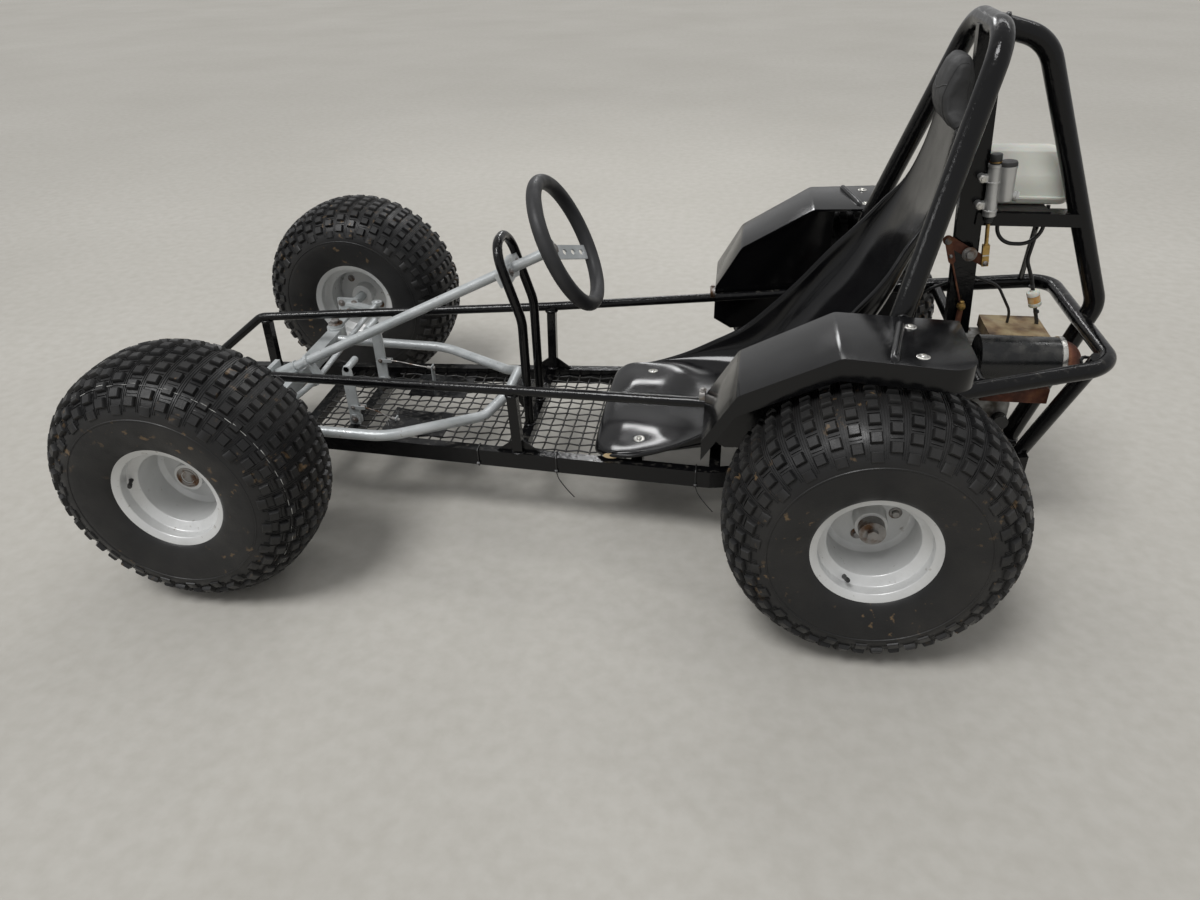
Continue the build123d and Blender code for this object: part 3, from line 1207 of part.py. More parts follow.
CHAIN_RIGHT = SPROCKET_SIDE + CHAIN_WIDTH / 2
with BuildPart() as chain:
    for right in (CHAIN_RIGHT, CHAIN_RIGHT - CHAIN_WIDTH + CHAIN_PLATE):
        add(chain_band(0, CHAIN_PLATE, right))
    roller_inset = (CHAIN_THICK - CHAIN_ROLLER) / 2
    add(chain_band(roller_inset, CHAIN_WIDTH - 2 * CHAIN_PLATE, CHAIN_RIGHT - CHAIN_PLATE))
save(chain.part, "chain")

with BuildPart() as engine_sprocket:
    with BuildSketch(Plane(origin=at(ENGINE_SHAFT, CASE_RIGHT, ENGINE_SHAFT_Z), z_dir=(0, 1, 0))):
        Circle(ENGINE_SHAFT_R)
    extrude(amount=SPROCKET_SIDE + FLANGE_LENGTH / 2 - CASE_RIGHT)
    sprocket_start = at(ENGINE_SHAFT, SPROCKET_SIDE - SPROCKET_THICK / 2, ENGINE_SHAFT_Z)
    with BuildSketch(Plane(origin=sprocket_start, z_dir=(0, 1, 0))):
        sprocket(ENGINE_SPROCKET_R, ENGINE_TEETH)
    extrude(amount=SPROCKET_THICK)
save(engine_sprocket.part, "engine_sprocket")

with BuildPart() as brake_caliper:
    with Locations(at(0, DISC_SIDE, WHEEL_Z + (CALIPER_LOW + CALIPER_HIGH) / 2)):
        Box(CALIPER_LENGTH, CALIPER_WIDTH, CALIPER_HIGH - CALIPER_LOW)
    with BuildSketch(Plane(origin=at(0, DISC_SIDE - DISC_THICK / 2 - DISC_GAP, WHEEL_Z), z_dir=(0, 1, 0))):
        Circle(DISC_R + DISC_GAP)
    extrude(amount=DISC_THICK + 2 * DISC_GAP, mode=Mode.SUBTRACT)
    arm_z = WHEEL_Z + CALIPER_HIGH - CALIPER_ARM_DROP
    with BuildSketch(Plane.YZ.offset(AXLE_X - CALIPER_ARM / 2)):
        with BuildLine():
            Polyline((-lower_half(0), WHEEL_Z + CARRIER_RISE - CALIPER_ARM_THICK), (-lower_half(0), arm_z),
                     (DISC_SIDE - CALIPER_WIDTH / 2 + CALIPER_ARM_THICK / 4, arm_z))
        trace(line_width=CALIPER_ARM_THICK)
    extrude(amount=CALIPER_ARM)
    add(axle_carriers.part, mode=Mode.SUBTRACT)
    caliper_solid = brake_caliper.part.solids().sort_by(lambda s: s.volume)[-1]
save(caliper_solid, "brake_caliper")

# Engine: plate, crankcase, finned cylinder and covers

PLATE_TOP = CROSS_TOP + ENGINE_PLATE_THICK
with BuildPart() as engine_plate:
    with Locations(at((ENGINE_CROSS + ENGINE_REAR_CROSS) / 2, 0, CROSS_TOP + ENGINE_PLATE_THICK / 2)):
        Box(ENGINE_REAR_CROSS - ENGINE_CROSS + CROSS_WIDTH, 2 * ENGINE_PLATE_HALF, ENGINE_PLATE_THICK)
save(engine_plate.part, "engine_plate")

with BuildPart() as engine_case:
    case_side = (CASE_RIGHT - CASE_LEFT) / 2
    with Locations(at((CASE_FRONT + CASE_REAR) / 2, case_side, (PLATE_TOP + CASE_TOP) / 2)):
        Box(CASE_REAR - CASE_FRONT, CASE_LEFT + CASE_RIGHT, CASE_TOP - PLATE_TOP)
    fillet(engine_case.edges().filter_by(Axis.Y), CASE_ROUNDING)
save(engine_case.part, "engine_case")

CYLINDER_STATION = (CYLINDER_FRONT + CYLINDER_REAR) / 2
with BuildPart() as engine_cylinder:
    with Locations(at(CYLINDER_STATION, 0, (CASE_TOP + CYLINDER_TOP) / 2)):
        Cylinder(CYLINDER_HALF - FIN_REACH, CYLINDER_TOP - CASE_TOP)
    with BuildSketch(Plane.XY.offset(CYLINDER_TOP - FIN_THICK)) as fin:
        with Locations((AXLE_X + CYLINDER_STATION, 0)):
            RectangleRounded(CYLINDER_REAR - CYLINDER_FRONT, 2 * CYLINDER_HALF, FIN_REACH)
    for row in range(int((CYLINDER_TOP - CASE_TOP) / FIN_PITCH)):
        extrude(fin.sketch.moved(Location((0, 0, -row * FIN_PITCH))), amount=FIN_THICK)
save(engine_cylinder.part, "engine_cylinder")

with BuildPart() as flywheel_cover:
    cover_centre = at(COVER_STATION, -CASE_LEFT, ENGINE_SHAFT_Z - COVER_DROP)
    with BuildSketch(Plane(origin=cover_centre, z_dir=(0, -1, 0))):
        Circle(COVER_R)
    extrude(amount=COVER_DEPTH, taper=COVER_TAPER)
save(flywheel_cover.part, "flywheel_cover")

with BuildPart() as oil_cap:
    with BuildSketch(Plane(origin=at(OIL_CAP_STATION, -CASE_LEFT, OIL_CAP_Z), z_dir=(0, -1, 0))):
        Circle(OIL_CAP_R)
    extrude(amount=COVER_DEPTH)
save(oil_cap.part, "oil_cap")

with BuildPart() as muffler:
    with BuildSketch():
        with BuildLine():
            band_front = MUFFLER_REAR - MUFFLER_BAND
            band_r = MUFFLER_D / 2 + MUFFLER_BAND_OUT
            Polyline((AXLE_X + MUFFLER_REAR, MUFFLER_DOME_D / 2), (AXLE_X + MUFFLER_REAR, band_r),
                     (AXLE_X + band_front, band_r), (AXLE_X + band_front, MUFFLER_D / 2),
                     (AXLE_X + MUFFLER_FRONT, MUFFLER_D / 2), (AXLE_X + MUFFLER_FRONT, 0),
                     (AXLE_X + MUFFLER_REAR + MUFFLER_DOME, 0))
            TangentArc((AXLE_X + MUFFLER_REAR + MUFFLER_DOME, 0), (AXLE_X + MUFFLER_REAR, MUFFLER_DOME_D / 2),
                       tangent=(0, 1))
        make_face()
    revolve(axis=Axis.X)
muffler_solid = muffler.part.moved(Location((0, MUFFLER_SIDE, MUFFLER_Z)))
save(muffler_solid, "muffler")

with BuildPart() as exhaust_bracket:
    with Locations(at((BRACKET_FRONT + MUFFLER_REAR) / 2, (MUFFLER_SIDE - CYLINDER_HALF) / 2, BRACKET_Z)):
        Box(MUFFLER_REAR - BRACKET_FRONT, -MUFFLER_SIDE - CYLINDER_HALF, BRACKET_HEIGHT)
    lug_side = MUFFLER_SIDE + BRACKET_LUG_THICK / 2
    with Locations(at(BRACKET_LUG_STATION, lug_side, (BRACKET_Z + MUFFLER_Z - MUFFLER_D / 2) / 2)):
        Box(BRACKET_LUG, BRACKET_LUG_THICK, MUFFLER_Z - MUFFLER_D / 2 - BRACKET_Z + BRACKET_LUG_THICK)
    add(muffler_solid, mode=Mode.SUBTRACT)
    add(engine_cylinder.part, mode=Mode.SUBTRACT)
    bracket_solid = exhaust_bracket.part.solids().sort_by(lambda s: s.volume)[-1]
save(bracket_solid, "exhaust_bracket")

# Muffler guard: a shallow tray of sheet over the cylinder, with a row of slots in each long side

GUARD_LENGTH = GUARD_REAR - GUARD_FRONT
GUARD_WIDTH = GUARD_LEFT + GUARD_RIGHT
GUARD_MIDDLE = at((GUARD_FRONT + GUARD_REAR) / 2, (GUARD_RIGHT - GUARD_LEFT) / 2,
                  CYLINDER_TOP + GUARD_HEIGHT / 2)
HOSE_FOOT = 2 * FILTER_LOW - FILTER_STATION

with BuildPart() as muffler_guard:
    with Locations(GUARD_MIDDLE):
        Box(GUARD_LENGTH, GUARD_WIDTH, GUARD_HEIGHT)
    with Locations(GUARD_MIDDLE - Vector(0, 0, GUARD_SHEET)):
        Box(GUARD_LENGTH - 2 * GUARD_SHEET, GUARD_WIDTH - 2 * GUARD_SHEET, GUARD_HEIGHT, mode=Mode.SUBTRACT)
    with Locations(GUARD_MIDDLE):
        with GridLocations(GUARD_LENGTH / GUARD_HOLES, 0, GUARD_HOLES, 1):
            Box(GUARD_HOLE_WIDTH, 2 * GUARD_WIDTH, GUARD_HOLE_HEIGHT, mode=Mode.SUBTRACT)
    for back, side, diameter in ((HOSE_FOOT, HOSE_SIDE, HOSE_D), (CABLE_FOOT, CABLE_SIDE, CABLE_D)):
        with Locations(at(back, side, CYLINDER_TOP + GUARD_HEIGHT)):
            Cylinder(diameter / 2 + HOSE_CLEAR, GUARD_HEIGHT, mode=Mode.SUBTRACT)
save(muffler_guard.part, "muffler_guard")

# Fuel tank on its tray, beside the post

TRAY_Z = TANK_BAR_Z + TANK_BAR_HEIGHT / 2
with BuildPart() as tank_tray:
    with Locations(at(TANK_BAR_FRONT + TRAY_OVERHANG, TANK_RIGHT / 2 - TRAY_LEFT, TRAY_Z + TRAY_THICK / 2)):
        Box(TRAY_LENGTH, TANK_RIGHT, TRAY_THICK)
    with Locations(at(HOSE_FRONT, HOSE_SIDE, TRAY_Z)):
        Cylinder(HOSE_D / 2 + HOSE_CLEAR, 4 * TRAY_THICK, mode=Mode.SUBTRACT)
    add(post_solid, mode=Mode.SUBTRACT)
    tray_solid = tank_tray.part.solids().sort_by(lambda s: s.volume)[-1]
save(tray_solid, "tank_tray")

TANK_BOTTOM_Z = TRAY_Z + TRAY_THICK
TANK_LENGTH = TANK_REAR - TANK_FRONT
TANK_WIDTH = TANK_RIGHT - TANK_LEFT
with BuildPart() as fuel_tank:
    with BuildSketch(Plane.XY.offset(TANK_BOTTOM_Z)):
        with Locations((AXLE_X + (TANK_FRONT + TANK_REAR) / 2, (TANK_LEFT + TANK_RIGHT) / 2)):
            RectangleRounded(TANK_LENGTH, TANK_WIDTH, TANK_CORNER_R)
    extrude(amount=TANK_WAIST_Z - TANK_BOTTOM_Z)
    with BuildSketch(Plane.XY.offset(TANK_WAIST_Z)):
        with Locations((AXLE_X + (TANK_FRONT + TANK_REAR) / 2, (TANK_LEFT + TANK_RIGHT) / 2)):
            RectangleRounded(TANK_LENGTH - 2 * TANK_STEP, TANK_WIDTH - 2 * TANK_STEP,
                             TANK_CORNER_R - TANK_STEP)
    extrude(amount=TANK_TOP_Z - TANK_WAIST_Z)
    fillet(fuel_tank.faces().sort_by(Axis.Z)[-1].edges(), TANK_EDGE_R)
save(fuel_tank.part, "fuel_tank")

with BuildPart() as tank_cap:
    with Locations(at(TANK_CAP_STATION, (TANK_LEFT + TANK_RIGHT) / 2, TANK_TOP_Z + TANK_CAP_HEIGHT / 2)):
        Cylinder(TANK_CAP_R, TANK_CAP_HEIGHT)
save(tank_cap.part, "tank_cap")

# Brake master cylinder on the near face of the post, with the bell crank that pushes its rod


def post_centre(z):
    share = (z - cross_z) / (HOOP_TOP_Z - cross_z)
    return POST_FOOT + share * (HOOP_TOP - POST_FOOT)


MASTER_SIDE = -SEAT_POST_THICK / 2 - MASTER_R - MASTER_GAP
MASTER_LOW = at(post_centre(MASTER_LOW_Z) + MASTER_BEHIND, MASTER_SIDE, MASTER_LOW_Z)
MASTER_HIGH = at(post_centre(MASTER_HIGH_Z) + MASTER_BEHIND, MASTER_SIDE, MASTER_HIGH_Z)
MASTER_UP = MASTER_HIGH - MASTER_LOW

with BuildPart() as master_cylinder:
    with BuildSketch(Plane(origin=MASTER_LOW, z_dir=MASTER_UP)):
        Circle(MASTER_R)
    extrude(amount=MASTER_UP.length)
    with BuildSketch(Plane(origin=MASTER_LOW, z_dir=MASTER_UP * -1)):
        Circle(BOOT_R)
    extrude(amount=BOOT_LENGTH)
    reservoir_foot = MASTER_LOW + MASTER_UP * 0.25 + Vector(RESERVOIR_BEHIND, 0, 0)
    with BuildSketch(Plane(origin=reservoir_foot, z_dir=MASTER_UP)):
        Circle(RESERVOIR_R)
    extrude(amount=MASTER_UP.length * 0.7)
    for share in (0.2, 0.7):
        with Locations(MASTER_LOW + MASTER_UP * share + Vector(-MASTER_BEHIND / 2, MASTER_LUG_IN, 0)):
            Box(MASTER_LUG_LENGTH, MASTER_LUG_THICK, MASTER_LUG_HEIGHT)
    add(post_solid, mode=Mode.SUBTRACT)
    add(bar_solid, mode=Mode.SUBTRACT)
    add(tray_solid, mode=Mode.SUBTRACT)
    master_solid = master_cylinder.part.solids().sort_by(lambda s: s.volume)[-1]
save(master_solid, "master_cylinder")

POST_FACE = -SEAT_POST_THICK / 2
CRANK_FACE = POST_FACE - CRANK_GAP - CRANK_THICK
LINK_MIDDLE = CRANK_FACE - CRANK_THICK / 2
CRANK_PINS = [(AXLE_X + CRANK_FRONT, CRANK_FRONT_Z), (AXLE_X + CRANK_PIVOT, CRANK_PIVOT_Z),
              (AXLE_X + CRANK_REAR, CRANK_REAR_Z)]
LINK_PINS = [CRANK_PINS[0], (AXLE_X + CRANK_FRONT + PULL_LINK_WIDTH, CRANK_FRONT_Z - PULL_LINK_DROP)]


def flat_bar(pins, width, side):
    """A flat bar through its pins, of the crank's thickness, with its inner face at side."""
    with BuildSketch(Plane.XZ.offset(-side)) as outline:
        with BuildLine():
            Polyline(*pins)
        trace(line_width=width)
        with Locations(*pins):
            Circle(width / 2)
    extrude(outline.sketch, amount=CRANK_THICK)


with BuildPart() as bell_crank:
    flat_bar(CRANK_PINS, CRANK_WIDTH, CRANK_FACE + CRANK_THICK)
    flat_bar(LINK_PINS, PULL_LINK_WIDTH, CRANK_FACE)
    with BuildSketch(Plane.XZ.offset(-POST_FACE)):
        with Locations(CRANK_PINS[1]):
            Circle(CRANK_BOLT_R)
    extrude(amount=CRANK_GAP + 2 * CRANK_THICK)
    stop_head = at(POST_FOOT - PULL_STOP_R, LINK_MIDDLE, PULL_STOP_Z)
    tube([stop_head, at(POST_FOOT - PULL_STOP_R, LINK_MIDDLE, cross_z)], None, 2 * PULL_STOP_R)
    tube([Vector(LINK_PINS[1][0], LINK_MIDDLE, LINK_PINS[1][1]), stop_head], None, PULL_WIRE)
    add(loop_cross_tube.part, mode=Mode.SUBTRACT)
save(bell_crank.part, "bell_crank")

with BuildPart() as crank_rod:
    rod_foot = Vector(CRANK_PINS[2][0], CRANK_FACE - CLEVIS_SIZE / 2, CRANK_PINS[2][1])
    boot_end = MASTER_LOW - MASTER_UP.normalized() * BOOT_LENGTH
    rod_up = (boot_end - rod_foot).normalized()
    tube([rod_foot, boot_end], None, 2 * ROD_R)
    with BuildSketch(Plane(origin=rod_foot - rod_up * (CLEVIS_SIZE / 2), z_dir=rod_up)):
        Rectangle(CLEVIS_SIZE, CLEVIS_SIZE)
    extrude(amount=CLEVIS_LENGTH)
    add(bell_crank.part, mode=Mode.SUBTRACT)
    add(master_solid, mode=Mode.SUBTRACT)
    crank_rod_solid = crank_rod.part.solids().sort_by(lambda s: s.volume)[-1]
save(crank_rod_solid, "crank_rod")

# Fuel hoses: a loop under the tank, and a branch through the filter to the cylinder's inlet

FILTER_TOP = at(FILTER_STATION, HOSE_SIDE, FILTER_Z)
FILTER_END = at(FILTER_LOW, HOSE_SIDE, FILTER_LOW_Z)
FILTER_RUN = FILTER_END - FILTER_TOP
INLET_Z = CYLINDER_TOP - FIN_PITCH - FIN_THICK / 2

with BuildPart() as fuel_filter:
    with BuildSketch(Plane(origin=FILTER_TOP, z_dir=FILTER_RUN)):
        Circle(FILTER_D / 2)
    extrude(amount=FILTER_RUN.length)
    chamfer(fuel_filter.edges(), HOSE_D / 2)
save(fuel_filter.part, "fuel_filter")

with BuildPart() as fuel_hoses:
    loop_points = [at(HOSE_FRONT, HOSE_SIDE, TANK_BOTTOM_Z), at(HOSE_FRONT, HOSE_SIDE, HOSE_LOW_Z),
                   at(HOSE_REAR, HOSE_SIDE, HOSE_LOW_Z), at(HOSE_REAR, HOSE_SIDE, TANK_BOTTOM_Z)]
    tube(loop_points, [HOSE_LOOP_R, HOSE_LOOP_R], HOSE_D)
    tube([at(HOSE_BRANCH, HOSE_SIDE, HOSE_BRANCH_Z), at(HOSE_SAG, HOSE_SIDE, HOSE_SAG_Z),
          FILTER_TOP - FILTER_RUN * 0.8, FILTER_TOP], [HOSE_LOOP_R, HOSE_BEND_R], HOSE_D)
    tube([FILTER_END, FILTER_END + FILTER_RUN, at(HOSE_FOOT, HOSE_SIDE, INLET_Z),
          at(CYLINDER_REAR, HOSE_SIDE, INLET_Z)], [HOSE_BEND_R, HOSE_BEND_R], HOSE_D)
save(fuel_hoses.part, "fuel_hoses")

with BuildPart() as throttle_cable:
    cross_front = ENGINE_CROSS - CROSS_WIDTH / 2
    tube([at(CABLE_FRONT, CABLE_SIDE, CROSS_TOP), at(CABLE_FRONT, CABLE_SIDE, CABLE_FRONT_Z),
          at(CABLE_CREST, CABLE_SIDE, CABLE_CREST_Z), at(CABLE_REAR, CABLE_SIDE, CABLE_REAR_Z),
          at(CABLE_FOOT, CABLE_SIDE, CYLINDER_TOP + 2 * GUARD_HEIGHT),
          at(CABLE_FOOT, CABLE_SIDE, CYLINDER_TOP)],
         [CABLE_BEND_R, CABLE_BEND_R, CABLE_BEND_R, CABLE_BEND_R], CABLE_D)
    with Locations(at(cross_front - CABLE_STOP / 2, CABLE_SIDE, CROSS_TOP - CABLE_STOP / 2)):
        Box(CABLE_STOP, CABLE_STOP, CABLE_STOP)
save(throttle_cable.part, "throttle_cable")
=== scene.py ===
import json
from math import acos, atan2, cos, hypot, pi, radians, sin

import bmesh
import bpy
from mathutils import Matrix, Vector, noise


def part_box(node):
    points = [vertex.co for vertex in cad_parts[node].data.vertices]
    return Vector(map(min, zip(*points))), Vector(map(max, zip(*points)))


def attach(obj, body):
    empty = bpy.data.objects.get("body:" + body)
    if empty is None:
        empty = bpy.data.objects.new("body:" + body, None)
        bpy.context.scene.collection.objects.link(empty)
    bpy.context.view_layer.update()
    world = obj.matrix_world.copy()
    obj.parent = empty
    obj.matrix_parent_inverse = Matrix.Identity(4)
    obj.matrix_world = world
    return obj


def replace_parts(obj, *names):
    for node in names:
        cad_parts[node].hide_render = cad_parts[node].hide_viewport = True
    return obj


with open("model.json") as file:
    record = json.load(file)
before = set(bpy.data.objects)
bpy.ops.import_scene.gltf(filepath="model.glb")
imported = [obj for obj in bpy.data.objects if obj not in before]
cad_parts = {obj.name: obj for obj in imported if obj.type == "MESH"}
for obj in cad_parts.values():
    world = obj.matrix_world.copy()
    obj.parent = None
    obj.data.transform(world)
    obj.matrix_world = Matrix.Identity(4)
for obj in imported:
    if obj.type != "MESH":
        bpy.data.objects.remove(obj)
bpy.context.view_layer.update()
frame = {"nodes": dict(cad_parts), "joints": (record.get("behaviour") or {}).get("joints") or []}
nodes = frame["nodes"]
joints = {joint["name"]: joint for joint in frame["joints"]}
BACK, RIGHT, UP = Vector((1, 0, 0)), Vector((0, 1, 0)), Vector((0, 0, 1))
SIDES = ((-1, "left"), (1, "right"))


def joint_place(name):
    return Vector(joints[name]["pos_m"])


rear_axle = joint_place("spin_rear")
REAR_HALF_TRACK = 0.498


def at(back, side, up):
    """A point with its station measured back from the rear axle."""
    return Vector((rear_axle.x + back, side, up))


def scaled(rows, size=0.001):
    """Rows of numbers times a size, which by itself turns millimetres into metres."""
    return [tuple(value * size for value in row) for row in rows]


def turns(count):
    """Angles of equal steps round a circle."""
    return [2 * pi * k / count for k in range(count)]


def spokes(axis, count):
    """Unit vectors in equal steps round a unit axis."""
    across = axis.orthogonal().normalized()
    over = axis.cross(across)
    return [across * cos(turn) + over * sin(turn) for turn in turns(count)]


def smooth_curve(points, steps):
    """Catmull-Rom points through a short list of rows of numbers."""
    padded = [points[0], *points, points[-1]]
    out = []
    for i in range(1, len(padded) - 2):
        p0, p1, p2, p3 = padded[i - 1:i + 3]
        for step in range(steps):
            t = step / steps
            out.append(tuple(0.5 * (2 * b + (c - a) * t + (2 * a - 5 * b + 4 * c - d) * t * t
                                    + (3 * b - a - 3 * c + d) * t ** 3) for a, b, c, d in zip(p0, p1, p2, p3)))
    out.append(tuple(points[-1]))
    return out


# Finishes. Each row has: metallic, specular, base colour; the layers over it, each a colour and
# the masks that are multiplied to place it; roughness as (noise scale, detail, level, value,
# level, value); bumps as (noise scale, detail, strength, depth, stretch); subsurface (weight,
# scale). A mask is (source, low, high, top), its source noise (scale, detail) or "up", which
# is where dust lies. Noise with the detail CELLS is a grain of cells. A base colour can also be
# a ramp: its noise, then each (level, colour).

CELLS = "cells"
FINISH_TABLE = {
    # Black gloss brushed on thickly over rough steel, with dust in the dimples
    "frame_paint": (0, 0.32, (0.0035, 0.0035, 0.004),
                    [((0.06, 0.057, 0.05), ("up", 0.5, 1), ((75, 6), 0.54, 0.74, 0.8))],
                    (26, 5, 0.35, 0.06, 0.75, 0.24), [(70, 3, 0.28, 0.003), (420, 2, 0.22, 0.001)]),
    # Grey paint on the front axle and the column, dusty, with chips down to the steel
    "silver_paint": (0.35, 0.5, (0.43, 0.455, 0.46),
                     [((0.55, 0.57, 0.575), ((22, 5), 0.35, 0.7)), ((0.2, 0.16, 0.13), ((95, 6), 0.68, 0.71))],
                     (40, 4, 0.3, 0.28, 0.7, 0.46), [(330, CELLS, 0.3, 0.0012)]),
    # Silver paint on the pressed rims, with streaks of dried mud
    "rim_paint": (0.3, 0.5, (0.56, 0.565, 0.56),
                  [((0.66, 0.665, 0.66), ((14, 5), 0.35, 0.7)),
                   ((0.2, 0.17, 0.13), ((60, 7), 0.66, 0.72, 0.6))],
                  (50, 4, 0.3, 0.3, 0.7, 0.5), [(220, 3, 0.15, 0.0015)]),
    # Black rubber with a grey bloom and crumbs of ochre mud
    "tyre_rubber": (0, 0.4, (0.009, 0.009, 0.0095),
                    [((0.022, 0.021, 0.02), ((9, 6), 0.4, 0.75)),
                     ((0.17, 0.11, 0.055), ((7, 2), 0.52, 0.62), ((58, 5), 0.62, 0.68, 0.7))],
                    (30, 5, 0.35, 0.34, 0.7, 0.6), [(300, 4, 0.25, 0.0012)]),
    "mesh_wire": (0, 0.5, (0.012, 0.012, 0.012),
                  [((0.12, 0.11, 0.095), ("up", 0.35, 0.95), ((80, 5), 0.5, 0.7, 0.8))],
                  (60, 4, 0.3, 0.3, 0.7, 0.6), [(500, 3, 0.2, 0.001)]),
    "worn_steel": (0.85, 0.5, (0.3, 0.29, 0.28), [((0.12, 0.065, 0.035), ((38, 7), 0.48, 0.62))],
                   (45, 5, 0.35, 0.3, 0.65, 0.75), [(240, 5, 0.3, 0.0015)]),
    # Black gelcoat, polished but a little wavy, with fine scratches
    "seat_shell": (0, 0.38, (0.003, 0.003, 0.0035),
                   [((0.03, 0.03, 0.032), ("up", 0.5, 1), ((12, 7), 0.45, 0.75, 0.35))],
                   (18, 6, 0.35, 0.12, 0.75, 0.24), [(7, 2, 0.12, 0.01), (340, 3, 0.04, 0.0005, (1, 8, 1))]),
    # Matt black vinyl with a fine grain
    "pad_cover": (0, 0.35, (0.022, 0.022, 0.023), [((0.042, 0.042, 0.042), ((20, 5),))],
                  (60, 4, 0.3, 0.55, 0.7, 0.75), [(620, CELLS, 0.35, 0.0008)]),
    # Moulded foam rubber on the steering wheel
    "grip_rubber": (0, 0.4, (0.012, 0.012, 0.013), [((0.035, 0.035, 0.037), ((25, 5),))],
                    (35, 4, 0.3, 0.42, 0.7, 0.62), [(500, CELLS, 0.2, 0.0008)]),
    # Die-cast aluminium, grimy in its corners
    "engine_cast": (0.7, 0.5, (0.3, 0.3, 0.29), [((0.06, 0.052, 0.042), ((26, 7), 0.4, 0.65))],
                    (60, 5, 0.3, 0.4, 0.7, 0.75), [(380, 3, 0.4, 0.0012)]),
    # Heat-proof satin black with grey dust
    "engine_black": (0, 0.5, (0.007, 0.0075, 0.008),
                     [((0.08, 0.077, 0.07), ("up", 0.2, 1), ((40, 6), 0.42, 0.7, 0.7))],
                     (30, 5, 0.3, 0.16, 0.7, 0.36), [(300, 3, 0.25, 0.001)]),
    "rusty_steel": (0.15, 0.3, ((30, 8), (0.3, (0.05, 0.022, 0.016)), (0.5, (0.13, 0.05, 0.032)),
                                (0.72, (0.25, 0.11, 0.055))), (),
                    (50, 5, 0.3, 0.6, 0.7, 0.95), [(130, 7, 0.6, 0.003)]),
    # Thin plate tanned and stained by heat
    "guard_plate": (0.6, 0.5, ((16, 7), (0.36, (0.42, 0.33, 0.19)), (0.5, (0.24, 0.16, 0.085)),
                               (0.64, (0.06, 0.035, 0.025))), (),
                    (40, 5, 0.3, 0.3, 0.7, 0.65), [(200, 4, 0.25, 0.0015)]),
    # Milky polythene, yellowed a little
    "tank_plastic": (0, 0.45, (0.74, 0.75, 0.69), [((0.66, 0.66, 0.58), ((6, 4),))],
                     (40, 4, 0.3, 0.32, 0.7, 0.5), [(120, 3, 0.1, 0.001)], (0.25, 0.02)),
    "cap_plastic": (0, 0.45, (0.02, 0.02, 0.02), [((0.05, 0.05, 0.048), ((60, 4),))],
                    (80, 4, 0.3, 0.35, 0.7, 0.6), [(400, 3, 0.2, 0.0008)]),
    "cast_aluminium": (0.75, 0.5, (0.5, 0.5, 0.49), [((0.66, 0.66, 0.65), ((45, 6),))],
                       (60, 5, 0.3, 0.3, 0.7, 0.5), [(450, 3, 0.3, 0.001)]),
    "brass": (0.9, 0.5, (0.55, 0.36, 0.12), [((0.2, 0.13, 0.06), ((70, 6), 0.4, 0.65))],
              (90, 4, 0.3, 0.3, 0.7, 0.55)),
    # Black hose, a little polished by handling
    "hose_rubber": (0, 0.5, (0.01, 0.01, 0.01), [((0.025, 0.025, 0.025), ((50, 4),))],
                    (70, 4, 0.3, 0.25, 0.7, 0.45), [(300, 3, 0.15, 0.0006)]),
    # Clear plastic over an orange paper core, read as one amber body
    "filter_plastic": (0, 0.6, (0.55, 0.27, 0.06), [((0.72, 0.55, 0.32), ((35, 3), 0.35, 0.65))],
                       (80, 4, 0.3, 0.12, 0.7, 0.28), (), (0.3, 0.01)),
    # Plated bolts and washers, a little dull
    "bright_steel": (0.95, 0.5, (0.55, 0.54, 0.5), [((0.72, 0.71, 0.68), ((120, 4),))],
                     (200, 4, 0.35, 0.22, 0.7, 0.45)),
    # Bare tan laminate where the black gelcoat has chipped off
    "laminate": (0, 0.3, (0.42, 0.3, 0.16), [((0.6, 0.48, 0.3), ((180, 6),))],
                 (90, 4, 0.3, 0.6, 0.7, 0.85), [(400, 5, 0.5, 0.001)]),
    # Pale paint of the line round a tread, mostly worn away
    "line_print": (0, 0.3, (0.42, 0.42, 0.4), [((0.03, 0.03, 0.03), ((55, 5), 0.4, 0.6))],
                   (60, 3, 0.3, 0.5, 0.7, 0.8)),
    # The plain pale floor
    "concrete": (0, 0.2, (0.4, 0.385, 0.35),
                 [((0.5, 0.485, 0.45), ((0.9, 6),)), ((0.33, 0.31, 0.27), ((30, 8), 0.35, 0.75, 0.35))],
                 (3, 4, 0.3, 0.6, 0.7, 0.8))}


